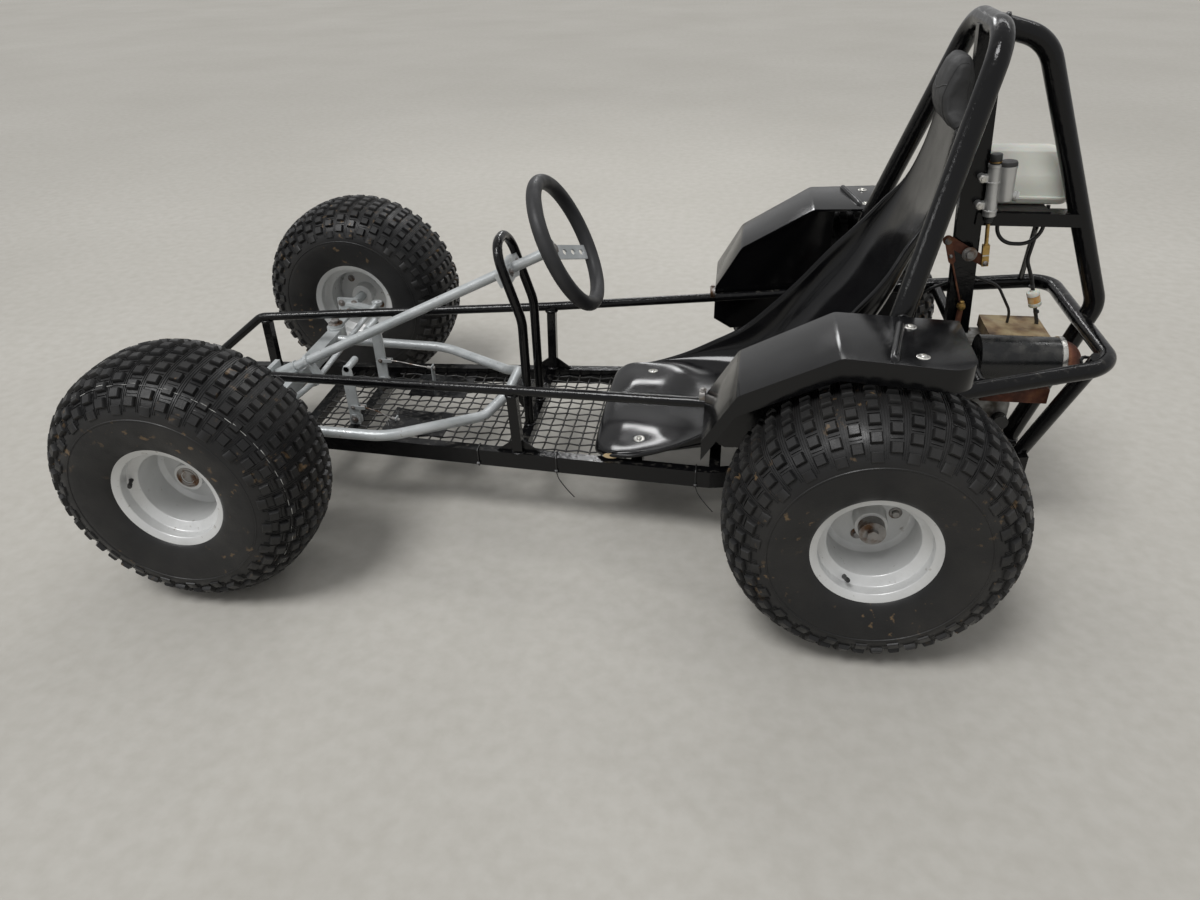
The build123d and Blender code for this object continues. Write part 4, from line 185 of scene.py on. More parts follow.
class Finish:
    """A procedural material, built up node by node on its Principled shader."""

    def __init__(self, name, metallic, specular, base, layers, rough, bumps=(), subsurface=()):
        self.material = bpy.data.materials.new(f"{name}_finish")
        self.material.use_nodes = True
        self.tree = self.material.node_tree
        self.place = self.node("ShaderNodeTexCoord").outputs["Object"]
        if isinstance(base[0], tuple):
            base = self.ramp(self.noise(*base[0]), *base[1:])
        for colour, *masks in layers:
            factor = self.mask(*masks[0])
            for mask in masks[1:]:
                inputs = {0: factor, 1: self.mask(*mask)}
                factor = self.node("ShaderNodeMath", inputs, operation="MULTIPLY").outputs[0]
            base = self.node("ShaderNodeMix", {0: factor, 6: base, 7: colour}, data_type="RGBA").outputs[2]
        sockets = {"Metallic": metallic, "Specular IOR Level": specular, "Base Color": base,
                   "Roughness": self.ramp(self.noise(*rough[:2]), rough[2:4], rough[4:])}
        if subsurface:
            sockets["Subsurface Weight"], sockets["Subsurface Scale"] = subsurface
        for scale, detail, strength, depth, *stretch in bumps:
            inputs = {"Height": self.noise(scale, detail, *stretch), "Strength": strength, "Distance": depth}
            if "Normal" in sockets:
                inputs["Normal"] = sockets["Normal"]
            sockets["Normal"] = self.node("ShaderNodeBump", inputs).outputs["Normal"]
        for socket, value in sockets.items():
            self.put(self.tree.nodes["Principled BSDF"].inputs[socket], value)

    def put(self, socket, value):
        if isinstance(value, bpy.types.NodeSocket):
            self.tree.links.new(value, socket)
        else:
            socket.default_value = (*value, 1.0) if socket.type == "RGBA" else value

    def node(self, kind, inputs=(), **settings):
        made = self.tree.nodes.new(kind)
        for name, value in settings.items():
            setattr(made, name, value)
        for socket, value in dict(inputs).items():
            self.put(made.inputs[socket], value)
        return made

    def noise(self, scale, detail, stretch=None):
        inputs = {"Vector": self.place, "Scale": scale}
        if stretch:
            stretched = self.node("ShaderNodeMapping", {"Vector": self.place, "Scale": stretch})
            inputs["Vector"] = stretched.outputs[0]
        if detail == CELLS:
            return self.node("ShaderNodeTexVoronoi", inputs).outputs["Distance"]
        return self.node("ShaderNodeTexNoise", {**inputs, "Detail": detail}).outputs["Fac"]

    def ramp(self, factor, *stops):
        """Colours, or grey values, at levels of a factor."""
        made = self.node("ShaderNodeValToRGB", {"Fac": factor})
        elements = made.color_ramp.elements
        while len(elements) < len(stops):
            elements.new(0.5)
        for element, (level, value) in zip(elements, stops):
            element.position = level
            element.color = (*value, 1.0) if isinstance(value, tuple) else (value, value, value, 1.0)
        return made.outputs["Color"]

    def mask(self, source, low=None, high=None, top=1.0):
        if source == "up":
            facing = self.node("ShaderNodeNewGeometry").outputs["Normal"]
            factor = self.node("ShaderNodeSeparateXYZ", {0: facing}).outputs["Z"]
        else:
            factor = self.noise(*source)
        return factor if low is None else self.ramp(factor, (low, 0.0), (high, top))


FINISHES = {name: Finish(name, *row).material for name, row in FINISH_TABLE.items()}


def dress_nodes():
    """Every carried-over node takes the node material of its own slot."""
    for node in nodes.values():
        for place in node.material_slots:
            slot = place.material.name.split(".")[0]
            place.material = FINISHES[slot]


# Making pieces

BUTTON_HEAD = [(1.9, -0.1), (1.9, 0.14), (1.8, 0.2), (1.02, 0.2), (0.98, 0.42), (0.78, 0.68), (0.52, 0.78),
               (0.46, 0.4)]
WASHER = [(1.6, -0.1), (1.6, 0.15), (1.5, 0.22), (0.9, 0.22)]
HEX_HEAD = [(1, 0.2), (1, 0.85), (0.86, 0.98)]
WELD_R, WELD_STEP, WELD_WANDER = 0.0034, 0.0035, 0.0008
SHARP = 40


class Shape:
    """Vertices and faces gathered for one piece."""

    def __init__(self):
        self.vertices = []
        self.faces = []

    def mesh(self, name):
        mesh = bpy.data.meshes.new(name)
        mesh.from_pydata([tuple(vertex) for vertex in self.vertices], [], self.faces)
        mesh.update()
        return mesh

    def rings(self, rings, closed=False):
        """Joins rings of equal length in a row, closed in a circle or capped at both ends."""
        base = len(self.vertices)
        count = len(rings[0])
        for ring in rings:
            self.vertices.extend(ring)
        for i in range(len(rings) if closed else len(rings) - 1):
            this = base + i * count
            after = base + (i + 1) % len(rings) * count
            for k in range(count):
                turn = (k + 1) % count
                self.faces.append((this + k, this + turn, after + turn, after + k))
        if not closed:
            last = base + (len(rings) - 1) * count
            self.faces.append(tuple(range(base + count - 1, base - 1, -1)))
            self.faces.append(tuple(range(last, last + count)))

    def turned(self, outline, place, axis, sides=20):
        """Turns (radius, height) points round an axis."""
        axis = Vector(axis).normalized()
        self.rings([[place + axis * height + spoke * radius for spoke in spokes(axis, sides)]
                    for radius, height in outline])

    def swept(self, line, radii, sides=8, closed=False):
        """A round bar along a line of points, with one radius or one for each point."""
        if not isinstance(radii, (list, tuple)):
            radii = [radii] * len(line)
        across = None
        rings = []
        for i, point in enumerate(line):
            before = line[i - 1] if i or closed else point
            after = line[(i + 1) % len(line)] if i < len(line) - 1 or closed else point
            run = (after - before).normalized()
            across = run.orthogonal() if across is None else across
            across = (across - run * across.dot(run)).normalized()
            over = run.cross(across)
            rings.append([point + (across * cos(t) + over * sin(t)) * radii[i] for t in turns(sides)])
        self.rings(rings, closed)

    def button_head(self, place, axis, size):
        """A button-head screw on a washer, with its socket."""
        self.turned(scaled(BUTTON_HEAD, size), place, axis, 18)

    def hex_head(self, place, axis, size):
        """A hexagon head or nut on a washer."""
        self.turned(scaled(WASHER, size), place, axis, 18)
        self.turned(scaled(HEX_HEAD, size), place, axis, 6)

    def weld(self, place, axis, radius):
        """A rippled bead of weld round a joint."""
        count = max(16, int(2 * pi * radius / WELD_STEP))
        line, radii = [], []
        for k, (turn, spoke) in enumerate(zip(turns(count), spokes(Vector(axis).normalized(), count))):
            wander = noise.noise(place * 40 + Vector((cos(turn), sin(turn), 0)))
            line.append(place + spoke * (radius + WELD_WANDER * wander))
            radii.append(WELD_R * (1 + 0.22 * (k % 2) + 0.3 * wander))
        self.swept(line, radii, 6, closed=True)


def linked(name, data):
    made = bpy.data.objects.new(name, data)
    bpy.context.scene.collection.objects.link(made)
    return made


def piece(name, mesh, finish, body="chassis", sharp=SHARP):
    """A mesh in its finish, carried by a body and smooth up to the sharp angle in degrees."""
    mesh.materials.clear()
    mesh.materials.append(FINISHES[finish])
    for polygon in mesh.polygons:
        polygon.use_smooth = True
        polygon.material_index = 0
    if sharp:
        mesh.set_sharp_from_angle(angle=radians(sharp))
    made = linked(name, mesh)
    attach(made, body)
    return made


def made_from(name, shape, finish, *node_names, body="chassis", sharp=SHARP):
    """A piece of a gathered shape, which stands for the nodes that are named."""
    made = piece(name, shape.mesh(name), finish, body, sharp)
    if node_names:
        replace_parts(made, *node_names)
    return made


def softened(name, node_name, edge, finish, body="chassis"):
    """A copy of a node with its sharp edges rounded, which stands for the node."""
    form = bmesh.new()
    form.from_mesh(nodes[node_name].data)
    bmesh.ops.remove_doubles(form, verts=form.verts, dist=1e-5)
    bmesh.ops.dissolve_limit(form, angle_limit=radians(0.6), verts=form.verts, edges=form.edges)
    folds = [e for e in form.edges if len(e.link_faces) == 2 and e.calc_face_angle() > radians(32)]
    bmesh.ops.bevel(form, geom=folds, offset=edge, segments=3, profile=0.5, affect="EDGES", clamp_overlap=True)
    mesh = bpy.data.meshes.new(name)
    form.to_mesh(mesh)
    form.free()
    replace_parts(piece(name, mesh, finish, body), node_name)


def bake(made):
    """Applies the modifiers of a piece to its mesh."""
    mesh = bpy.data.meshes.new_from_object(made.evaluated_get(bpy.context.evaluated_depsgraph_get()))
    made.modifiers.clear()
    made.data = mesh


# Camera, light and floor

CAMERA_PLACE, CAMERA_YAW, CAMERA_PITCH, CAMERA_ROLL = (0.3177, -1.8562, 1.2595), -0.1596, 0.5658, -0.0273
# Each lamp's place, aim, width, depth and power
LAMPS = {"overhead": ((0.9, 1.7, 3.0), (0, 0, 0), 3.4, 0.2, 16),
         "window": ((-0.3, 3.4, 2.5), (0, 0, 0.3), 0.8, 0.45, 14),
         "front_left": ((-2.6, -1.6, 2.4), (-0.2, 0, 0.3), 1.6, 0.25, 10)}
FLOOR_REACH = 30


def camera():
    """The photograph's own view."""
    yaw, pitch, roll = CAMERA_YAW, CAMERA_PITCH, CAMERA_ROLL
    forward = Vector((sin(yaw) * cos(pitch), cos(yaw) * cos(pitch), -sin(pitch)))
    level = Vector((cos(yaw), -sin(yaw), 0))
    above = level.cross(forward)
    right = cos(roll) * level + sin(roll) * above
    up = cos(roll) * above - sin(roll) * level
    data = bpy.data.cameras.new("camera")
    data.sensor_width = 36
    data.lens = 26.34
    made = linked("camera", data)
    turn = Matrix((right, up, -forward)).transposed().to_4x4()
    made.matrix_world = Matrix.Translation(Vector(CAMERA_PLACE)) @ turn
    bpy.context.scene.camera = made


def light(name, kind, direction, **settings):
    data = bpy.data.lights.new(name, kind)
    for setting, value in settings.items():
        setattr(data, setting, value)
    made = linked(name, data)
    made.rotation_euler = direction.to_track_quat("-Z", "Y").to_euler()
    return made


def studio():
    """Soft light from overhead, a pale floor and a pale surround."""
    bpy.context.scene.view_settings.view_transform = "Standard"
    light("sky_light", "SUN", Vector((0.32, 0.4, -1)), energy=1.75, angle=radians(22))
    for name, (place, target, width, depth, power) in LAMPS.items():
        aim = Vector(target) - Vector(place)
        made = light(name, "AREA", aim, shape="RECTANGLE", size=width, size_y=depth, energy=power)
        made.location = place
    world = bpy.data.worlds.new("surround")
    bpy.context.scene.world = world
    world.use_nodes = True
    world.node_tree.nodes["Background"].inputs["Color"].default_value = (0.5, 0.5, 0.5, 1)
    shape = Shape()
    shape.vertices = [(x * FLOOR_REACH, y * FLOOR_REACH, 0) for x, y in ((-1, -1), (1, -1), (1, 1), (-1, 1))]
    shape.faces = [(0, 1, 2, 3)]
    floor = linked("floor", shape.mesh("floor"))
    floor.data.materials.append(FINISHES["concrete"])


# Tyres: (radius, half width) of the carcass in millimetres, from the bead to the crown
CARCASS = scaled([(108, 98), (117, 110), (132, 117), (160, 123), (192, 124.5), (218, 115), (240, 95),
                  (256.5, 66), (263.2, 34), (264.7, 0)])
CARCASS_STEPS = 5
TYRE_SEGMENTS = 144
KNOB_PLACES = 46
KNOB_ROWS = 9
KNOB_ROW_PITCH = 0.0155
KNOB_LENGTH, KNOB_WIDTH, KNOB_HEIGHT = 0.0195, 0.0175, 0.0082
SHOULDER_KNOB = 0.45
BAR_WIDTH, BAR_HEIGHT = 0.0016, 0.0022
RIB_HALF_WIDTH, RIB_HEIGHT, RIB_REACH, RIB_STEPS = 0.0009, 0.0016, 0.143, 18
RIB_OFFSETS = (-0.0045, 0.0, 0.0045)
MOULD_LINE_R = 0.190
TREAD_LINE_AT, TREAD_LINE_WIDTH = 0.0930, 0.0012


def carcass_outline():
    """(radius, side) points right across the tyre, from one bead to the other."""
    half = smooth_curve(CARCASS, CARCASS_STEPS)
    first = next(i for i, (radius, _) in enumerate(half) if radius > MOULD_LINE_R)
    side = half[first][1]
    half[first:first] = [(MOULD_LINE_R - 0.0018, side), (MOULD_LINE_R - 0.0008, side + 0.0012),
                         (MOULD_LINE_R + 0.0008, side + 0.0012), (MOULD_LINE_R + 0.0018, side)]
    return half + [(r, -w) for r, w in half[-2::-1]]


class CarcassLine:
    """The outer half of the carcass, read by length from the crown."""

    def __init__(self):
        self.points = [Vector(p) for p in smooth_curve(CARCASS, 12)[::-1]]
        self.lengths = [0.0]
        for a, b in zip(self.points, self.points[1:]):
            self.lengths.append(self.lengths[-1] + (b - a).length)

    def at(self, distance):
        """Point (radius, side) and outward normal at a signed distance from the crown."""
        sign = -1 if distance < 0 else 1
        distance = abs(distance)
        i = max(k for k, value in enumerate(self.lengths[:-1]) if value <= distance)
        share = (distance - self.lengths[i]) / (self.lengths[i + 1] - self.lengths[i])
        point = self.points[i].lerp(self.points[i + 1], share)
        run = (self.points[i + 1] - self.points[i]).normalized()
        return Vector((point.x, sign * point.y)), Vector((run.y, -sign * run.x))


def wheel_point(centre, radius, angle, side):
    return centre + Vector((radius * sin(angle), side, radius * cos(angle)))


def lug(shape, line, centre, angle, distance, width, height):
    """One block: its foot on the carcass, a bevelled top a little smaller."""
    base = len(shape.vertices)
    for lift, grow in ((-0.002, 1.12), (0.72 * height, 1.0), (height, 0.82)):
        for u, v in ((-1, -1), (1, -1), (1, 1), (-1, 1)):
            point, normal = line.at(distance + v * width / 2 * grow)
            point = point + normal * lift
            turn = angle + u * KNOB_LENGTH / 2 * grow / point.x
            shape.vertices.append(wheel_point(centre, point.x, turn, point.y))
    for ring in (0, 4):
        for k in range(4):
            a, b = base + ring + k, base + ring + (k + 1) % 4
            shape.faces.append((a, b, b + 4, a + 4))
    shape.faces.append(tuple(range(base + 8, base + 12)))


def cross_rib(shape, line, centre, angle):
    """A low ridge across the tread, between the lugs."""
    base = len(shape.vertices)
    for k in range(RIB_STEPS + 1):
        point, normal = line.at(RIB_REACH * (2 * k / RIB_STEPS - 1))
        for u, lift in ((-1, -0.001), (-0.5, RIB_HEIGHT), (0.5, RIB_HEIGHT), (1, -0.001)):
            lifted = point + normal * lift
            turn = angle + u * RIB_HALF_WIDTH / lifted.x
            shape.vertices.append(wheel_point(centre, lifted.x, turn, lifted.y))
    for a in (base + 4 * k + u for k in range(RIB_STEPS) for u in range(3)):
        shape.faces.append((a, a + 1, a + 5, a + 4))


def tyre(name, centre, node_name, body):
    line, outline, shape = CarcassLine(), carcass_outline(), Shape()
    count = len(outline)
    for k, angle in enumerate(turns(TYRE_SEGMENTS)):
        shape.vertices += [wheel_point(centre, radius, angle, side) for radius, side in outline]
        this, after = k * count, (k + 1) % TYRE_SEGMENTS * count
        shape.faces += [(this + i, after + i, after + i + 1, this + i + 1) for i in range(count - 1)]
    step = 2 * pi / KNOB_PLACES
    for place in range(KNOB_PLACES):
        angle = place * step
        for row in range(-KNOB_ROWS, KNOB_ROWS + 1):
            distance = row * KNOB_ROW_PITCH
            if (row + place) % 2 == 0:
                height = KNOB_HEIGHT * (SHOULDER_KNOB if abs(row) == KNOB_ROWS else 1.0)
                lug(shape, line, centre, angle, distance, KNOB_WIDTH, height)
            elif abs(row) < KNOB_ROWS - 1:
                lug(shape, line, centre, angle, distance, BAR_WIDTH, BAR_HEIGHT)
        for offset in RIB_OFFSETS:
            cross_rib(shape, line, centre, angle + step / 2 + offset / rear_axle.z)
    made_from(name, shape, "tyre_rubber", node_name, body=body, sharp=38)


def tread_line(name, centre, distance, body):
    """The thin pale line printed round a new tread, over the lugs and the hollows between them."""
    line, shape = CarcassLine(), Shape()
    row = round(abs(distance) / KNOB_ROW_PITCH)
    step = 2 * pi / KNOB_PLACES
    for place in range(KNOB_PLACES):
        for share in (-0.49, -0.27, -0.2, 0.2, 0.27, 0.49):
            raised = abs(share) < 0.25 and (row + place) % 2 == 0
            for edge in (-0.5, 0.5):
                point, normal = line.at(distance + edge * TREAD_LINE_WIDTH)
                point = point + normal * (KNOB_HEIGHT + 0.0003 if raised else RIB_HEIGHT + 0.0002)
                shape.vertices.append(wheel_point(centre, point.x, (place + share) * step, point.y))
    count = len(shape.vertices)
    shape.faces = [(k, (k + 2) % count, (k + 3) % count, k + 1) for k in range(0, count, 2)]
    made_from(name, shape, "line_print", body=body, sharp=None)


def tyres():
    for side, name in SIDES:
        tyre(f"rear_tyre_{name}", at(0, side * REAR_HALF_TRACK, rear_axle.z), "tyres_rear", "rear_axle")
        centre, body = joint_place(f"spin_front_{name}"), f"front_wheel_{name}"
        tyre(f"front_tyre_{name}", centre, f"tyre_front_{name}", body)
        tread_line(f"front_tread_line_{name}", centre, side * TREAD_LINE_AT, body)


# Seat: rows of the moulded shell from the front lip to the top of its back, in millimetres.
# Each has the middle of the floor (back, up), the half width, and the rim (back, up).
SEAT_ROWS = scaled([
    (-559, 184, 178, -555, 181), (-560.5, 190, 190, -552, 187), (-555, 195.5, 204, -540, 193.5),
    (-530, 198.5, 220, -518, 199.5), (-464, 195, 228, -460, 208), (-380, 193.5, 230, -385, 235),
    (-290, 193.5, 229, -315, 272), (-205, 197.5, 225, -241, 317), (-150, 230, 220, -176, 380),
    (-112, 290, 213, -112, 455), (-50, 385, 205, -48, 538), (22, 500, 190, 13, 612),
    (72, 625, 164, 50, 670), (97, 715, 139, 86, 725), (115, 800, 116, 108, 800), (127, 885, 100, 119, 877)])
SEAT_STEPS = 5
SEAT_ACROSS = 44
SEAT_SQUARE = 2.7
SEAT_SHEET = 0.007
SEAT_EDGE_R = 0.0052
LOBE_RISE, LOBE_FRONT, LOBE_REAR = 0.010, -0.555, -0.345
SEAT_BOLT, SEAT_BOLT_SIZE = (-0.464, 0.168), 0.0066
CHIP_ROW, CHIP_ACROSS, CHIP_SHEET = 3, -0.985, 0.0018


def ease(share):
    share = min(1.0, max(0.0, share))
    return share * share * (3 - 2 * share)


def seat_point(row, across):
    """Point of the seat's inner face on a row, across from -1 at the left rim to 1."""
    back, up, half, rim_back, rim_up = row
    depth = 1 - max(0.0, 1 - abs(across) ** SEAT_SQUARE) ** (1 / SEAT_SQUARE)
    ends = ease((back - LOBE_FRONT) / 0.06) * ease((LOBE_REAR - back) / 0.09)
    lobe = LOBE_RISE * ends * sin(pi * min(1.0, abs(across))) ** 2
    return at(back + (rim_back - back) * depth, half * across, up + (rim_up - up) * depth + lobe)


def seat():
    rows = smooth_curve(SEAT_ROWS, SEAT_STEPS)
    shares = [sin(pi / 2 * (2 * k / SEAT_ACROSS - 1)) for k in range(SEAT_ACROSS + 1)]
    sheet, edge, bolts, chip = Shape(), Shape(), Shape(), Shape()
    sheet.vertices = [seat_point(row, share) for row in rows for share in shares]
    count, last = len(shares), len(rows) - 1
    sheet.faces = [(i * count + k, i * count + k + 1, (i + 1) * count + k + 1, (i + 1) * count + k)
                   for i in range(last) for k in range(count - 1)]
    shell = made_from("seat_shell", sheet, "seat_shell", "seat", sharp=None)
    thick = shell.modifiers.new("sheet", "SOLIDIFY")
    thick.thickness = SEAT_SHEET
    thick.offset = -1
    shell.modifiers.new("smooth", "SUBSURF").levels = 1
    bake(shell)
    grid = [sheet.vertices[i * count:(i + 1) * count] for i in range(last + 1)]
    rim = ([row[0] for row in grid] + grid[last][1:] + [row[-1] for row in grid[last - 1::-1]]
           + grid[0][-2:0:-1])
    edge.swept([point - UP * SEAT_SHEET / 2 for point in rim], SEAT_EDGE_R, 10, closed=True)
    made_from("seat_rolled_edge", edge, "seat_shell")
    row = min(rows, key=lambda r: abs(r[0] - SEAT_BOLT[0]))
    for side in (-1, 1):
        above = seat_point(row, side * SEAT_BOLT[1] / row[2]) + UP * 0.1
        _, place, facing, _ = shell.ray_cast(above, -UP)
        bolts.button_head(place, facing if facing.z > 0 else -facing, SEAT_BOLT_SIZE)
    made_from("seat_bolts", bolts, "bright_steel")
    spot = seat_point(rows[SEAT_STEPS * CHIP_ROW], CHIP_ACROSS)
    outline = []
    for turn in turns(14):
        along, over = cos(turn), sin(turn)
        reach = 1 + 0.35 * noise.noise(Vector((3 * along, 3 * over, 4.2)))
        outline.append(spot + Vector((0.017 * reach * along, -0.0045 + 0.0012 * over,
                                      -0.004 + 0.0055 * reach * over)))
    chip.rings([outline, [point - RIGHT * CHIP_SHEET for point in outline]])
    made_from("seat_chip", chip, "laminate")


# Fenders: the folded sheet with its edges rounded, a moulded rib and two screws on each side
FENDER_EDGE = 0.0026
FENDER_RIB = scaled([(26, 340, 596), (22, 372, 598), (10, 430, 598.5), (-1, 485, 598), (-6, 515, 595)])
FENDER_RIB_R = 0.0075
FENDER_SCREWS = [(0.040, 0.365), (0.044, 0.484)]
FENDER_TOP = 0.597


def fenders():
    softened("fender_sheets", "fenders", FENDER_EDGE, "seat_shell")
    ribs, screws = Shape(), Shape()
    for side in (-1, 1):
        line = [at(x, side * y, z) for x, y, z in smooth_curve(FENDER_RIB, 5)]
        reach = len(line) - 1
        radii = [FENDER_RIB_R * max(0.15, sin(pi * min(1, 6 * k / reach, 6 * (reach - k) / reach) / 2))
                 for k in range(len(line))]
        ribs.swept(line, radii, 12)
        for x, y in FENDER_SCREWS:
            screws.button_head(at(x, side * y, FENDER_TOP), UP, 0.006)
    made_from("fender_ribs", ribs, "seat_shell")
    made_from("fender_screws", screws, "bright_steel")


# Floor mesh: crimped wires woven over and under, clipped to the rails
WIRE_R, WIRE_PITCH, CRIMP = 0.0021, 0.0280, 0.0020
MESH_Z = 0.1665
MESH_FRONT, MESH_REAR = -1.2775, -0.4765
RAIL_FRONT, RAIL_WAIST = (-1.700, 0.143), (-0.300, 0.240)
RAIL_INSIDE = 0.0125
MESH_BARS, BAR_HALF = (-1.170, -0.742), 0.0125


def rail_inner_half(back):
    share = (back - RAIL_FRONT[0]) / (RAIL_WAIST[0] - RAIL_FRONT[0])
    return RAIL_FRONT[1] + share * (RAIL_WAIST[1] - RAIL_FRONT[1]) - RAIL_INSIDE


def floor_mesh():
    wires = Shape()
    rows = int(rail_inner_half(MESH_REAR) / WIRE_PITCH)
    columns = int((MESH_REAR - MESH_FRONT) / WIRE_PITCH)
    for row in range(-rows, rows + 1):
        side = row * WIRE_PITCH
        line = []
        for step in range(2 * columns + 1):
            back = MESH_FRONT + step * WIRE_PITCH / 2
            if rail_inner_half(back) >= abs(side):
                line.append(at(back, side, MESH_Z + CRIMP * cos(pi * (step / 2 + row))))
        if len(line) > 2:
            wires.swept(line, WIRE_R, 6)
    for column in range(columns + 1):
        back = MESH_FRONT + column * WIRE_PITCH
        if any(abs(back - bar) < BAR_HALF for bar in MESH_BARS):
            continue
        half = rail_inner_half(back)
        reach = int(half / WIRE_PITCH * 2)
        line = [at(back, step * WIRE_PITCH / 2, MESH_Z - CRIMP * cos(pi * (step / 2 + column)))
                for step in range(-reach, reach + 1)]
        wires.swept([at(back, -half, line[0].z), *line, at(back, half, line[-1].z)], WIRE_R, 6)
    made_from("floor_mesh", wires, "mesh_wire", "mesh_long_wires", "mesh_cross_wires", sharp=80)


# Headrest: a soft cover over the seat's top, closed and inflated a little, then its seams.
# Rings from its crown to its foot: height, front, rear and half width.
PAD_RINGS = [(0.993, 0.112, 0.134, 0.046), (0.98, 0.103, 0.138, 0.06), (0.955, 0.096, 0.141, 0.068),
             (0.925, 0.0905, 0.143, 0.072), (0.905, 0.096, 0.1445, 0.08), (0.885, 0.104, 0.146, 0.098),
             (0.868, 0.11, 0.147, 0.104)]
PAD_SQUARE = 3.2
PAD_VOXEL = 0.005
PAD_PRESSURE = 4
PAD_FRAMES = 20
PAD_SWELL = 0.006
PAD_CENTRE = (0.118, 0, 0.935)
PAD_SEAMS = (-0.054, 0.054)
PAD_FLAP_Z, PAD_FLAP_CURVE = 0.938, 0.006
SEAM_R = 0.0011


def headrest():
    shape, seams = Shape(), Shape()
    rings = []
    for height, front, rear, half in PAD_RINGS:
        ring = []
        for turn in turns(40):
            along, across = cos(turn), sin(turn)
            reach = (abs(along) ** PAD_SQUARE + abs(across) ** PAD_SQUARE) ** (-1 / PAD_SQUARE)
            back = (front + rear) / 2 + (rear - front) / 2 * along * reach
            ring.append(at(back, half * across * reach, height))
        rings.append(ring)
    shape.rings(rings)
    pad = made_from("headrest_cover", shape, "pad_cover", "headrest_pad", sharp=None)
    remesh = pad.modifiers.new("remesh", "REMESH")
    remesh.mode = "VOXEL"
    remesh.voxel_size = PAD_VOXEL
    bake(pad)
    rest = [vertex.co.copy() for vertex in pad.data.vertices]
    cloth = pad.modifiers.new("cloth", "CLOTH")
    cloth.settings.use_pressure = True
    cloth.settings.uniform_pressure_force = PAD_PRESSURE
    cloth.settings.effector_weights.gravity = 0
    cloth.point_cache.frame_end = PAD_FRAMES
    for step in range(1, PAD_FRAMES + 1):
        bpy.context.scene.frame_set(step)
    bake(pad)
    for vertex, start in zip(pad.data.vertices, rest):
        move = vertex.co - start
        if move.length > PAD_SWELL:
            vertex.co = start + move.normalized() * PAD_SWELL
    bpy.context.scene.frame_set(1)
    pad.modifiers.new("smooth", "SUBSURF").levels = 1
    bake(pad)
    for polygon in pad.data.polygons:
        polygon.use_smooth = True
    centre = at(*PAD_CENTRE)
    for side in PAD_SEAMS:
        hits = [pad.ray_cast(centre + RIGHT * side, Vector((cos(turn), 0, sin(turn))))
                for turn in turns(48)]
        seams.swept([place for hit, place, _, _ in hits if hit], SEAM_R, 6, closed=True)
    flap = []
    for k in range(25):
        side = PAD_SEAMS[0] + (PAD_SEAMS[1] - PAD_SEAMS[0]) * k / 24
        height = PAD_FLAP_Z - PAD_FLAP_CURVE * cos(pi * (2 * k / 24 - 1))
        hit, place, _, _ = pad.ray_cast(Vector((centre.x, side, height)), -BACK)
        if hit:
            flap.append(place)
    seams.swept(flap, SEAM_R, 6)
    made_from("headrest_seams", seams, "pad_cover")


# Wheels: valve stems on the step of each rim, bearings in the front hubs, nuts on the discs
VALVE_LINE = scaled([(4.8, 0), (4.8, 5), (3.6, 10), (3.4, 19), (4.4, 19.5), (4.4, 27), (3.6, 29)])
VALVE_R, VALVE_SIDE, VALVE_LEAN = 0.0945, 0.071, 0.45
VALVE_TURNS = {"front_left": 281, "front_right": 60, "rear_left": 207, "rear_right": 130}
BEARING = scaled([(23.5, -1), (23.5, 1.2), (20.5, 1.4), (20, 0.4), (17.8, 0.4), (17.2, 1.6), (14, 1.6),
                  (13.2, -4)])
HUB_FACE_SIDE = 0.030
# Nuts on a disc: how many, first angle in degrees, radius, side, facing (1 is outward), size
FRONT_DISC_NUTS = (4, 45, 0.056, 0.012, -1, 0.0065)
REAR_DISC_NUTS = (3, -40, 0.047, 0.0078, 1, 0.0075)


def valve(shape, centre, side, name):
    turn = radians(VALVE_TURNS[name])
    outward = Vector((sin(turn), 0, cos(turn)))
    place = centre + outward * VALVE_R + RIGHT * side * VALVE_SIDE
    shape.turned(VALVE_LINE, place, RIGHT * side - VALVE_LEAN * outward, 14)


def disc_nuts(shape, centre, side, row):
    count, first, radius, inward, facing, size = row
    for k in range(count):
        turn = radians(first + 360 / count * k)
        shape.hex_head(wheel_point(centre, radius, turn, -side * inward), RIGHT * side * facing, size)


def wheel_details():
    rear_stems, rear_nuts = Shape(), Shape()
    for side, name in SIDES:
        body = f"front_wheel_{name}"
        centre = joint_place(f"spin_front_{name}")
        stem, bearing, nuts = Shape(), Shape(), Shape()
        valve(stem, centre, side, f"front_{name}")
        made_from(f"front_valve_{name}", stem, "hose_rubber", body=body)
        bearing.turned(BEARING, centre + RIGHT * side * HUB_FACE_SIDE, RIGHT * side, 36)
        made_from(f"front_bearing_{name}", bearing, "worn_steel", body=body)
        disc_nuts(nuts, centre, side, FRONT_DISC_NUTS)
        made_from(f"front_disc_nuts_{name}", nuts, "worn_steel", body=body)
        centre = at(0, side * REAR_HALF_TRACK, rear_axle.z)
        valve(rear_stems, centre, side, f"rear_{name}")
        disc_nuts(rear_nuts, centre, side, REAR_DISC_NUTS)
    made_from("rear_valves", rear_stems, "hose_rubber", body="rear_axle")
    made_from("rear_disc_nuts", rear_nuts, "worn_steel", body="rear_axle")


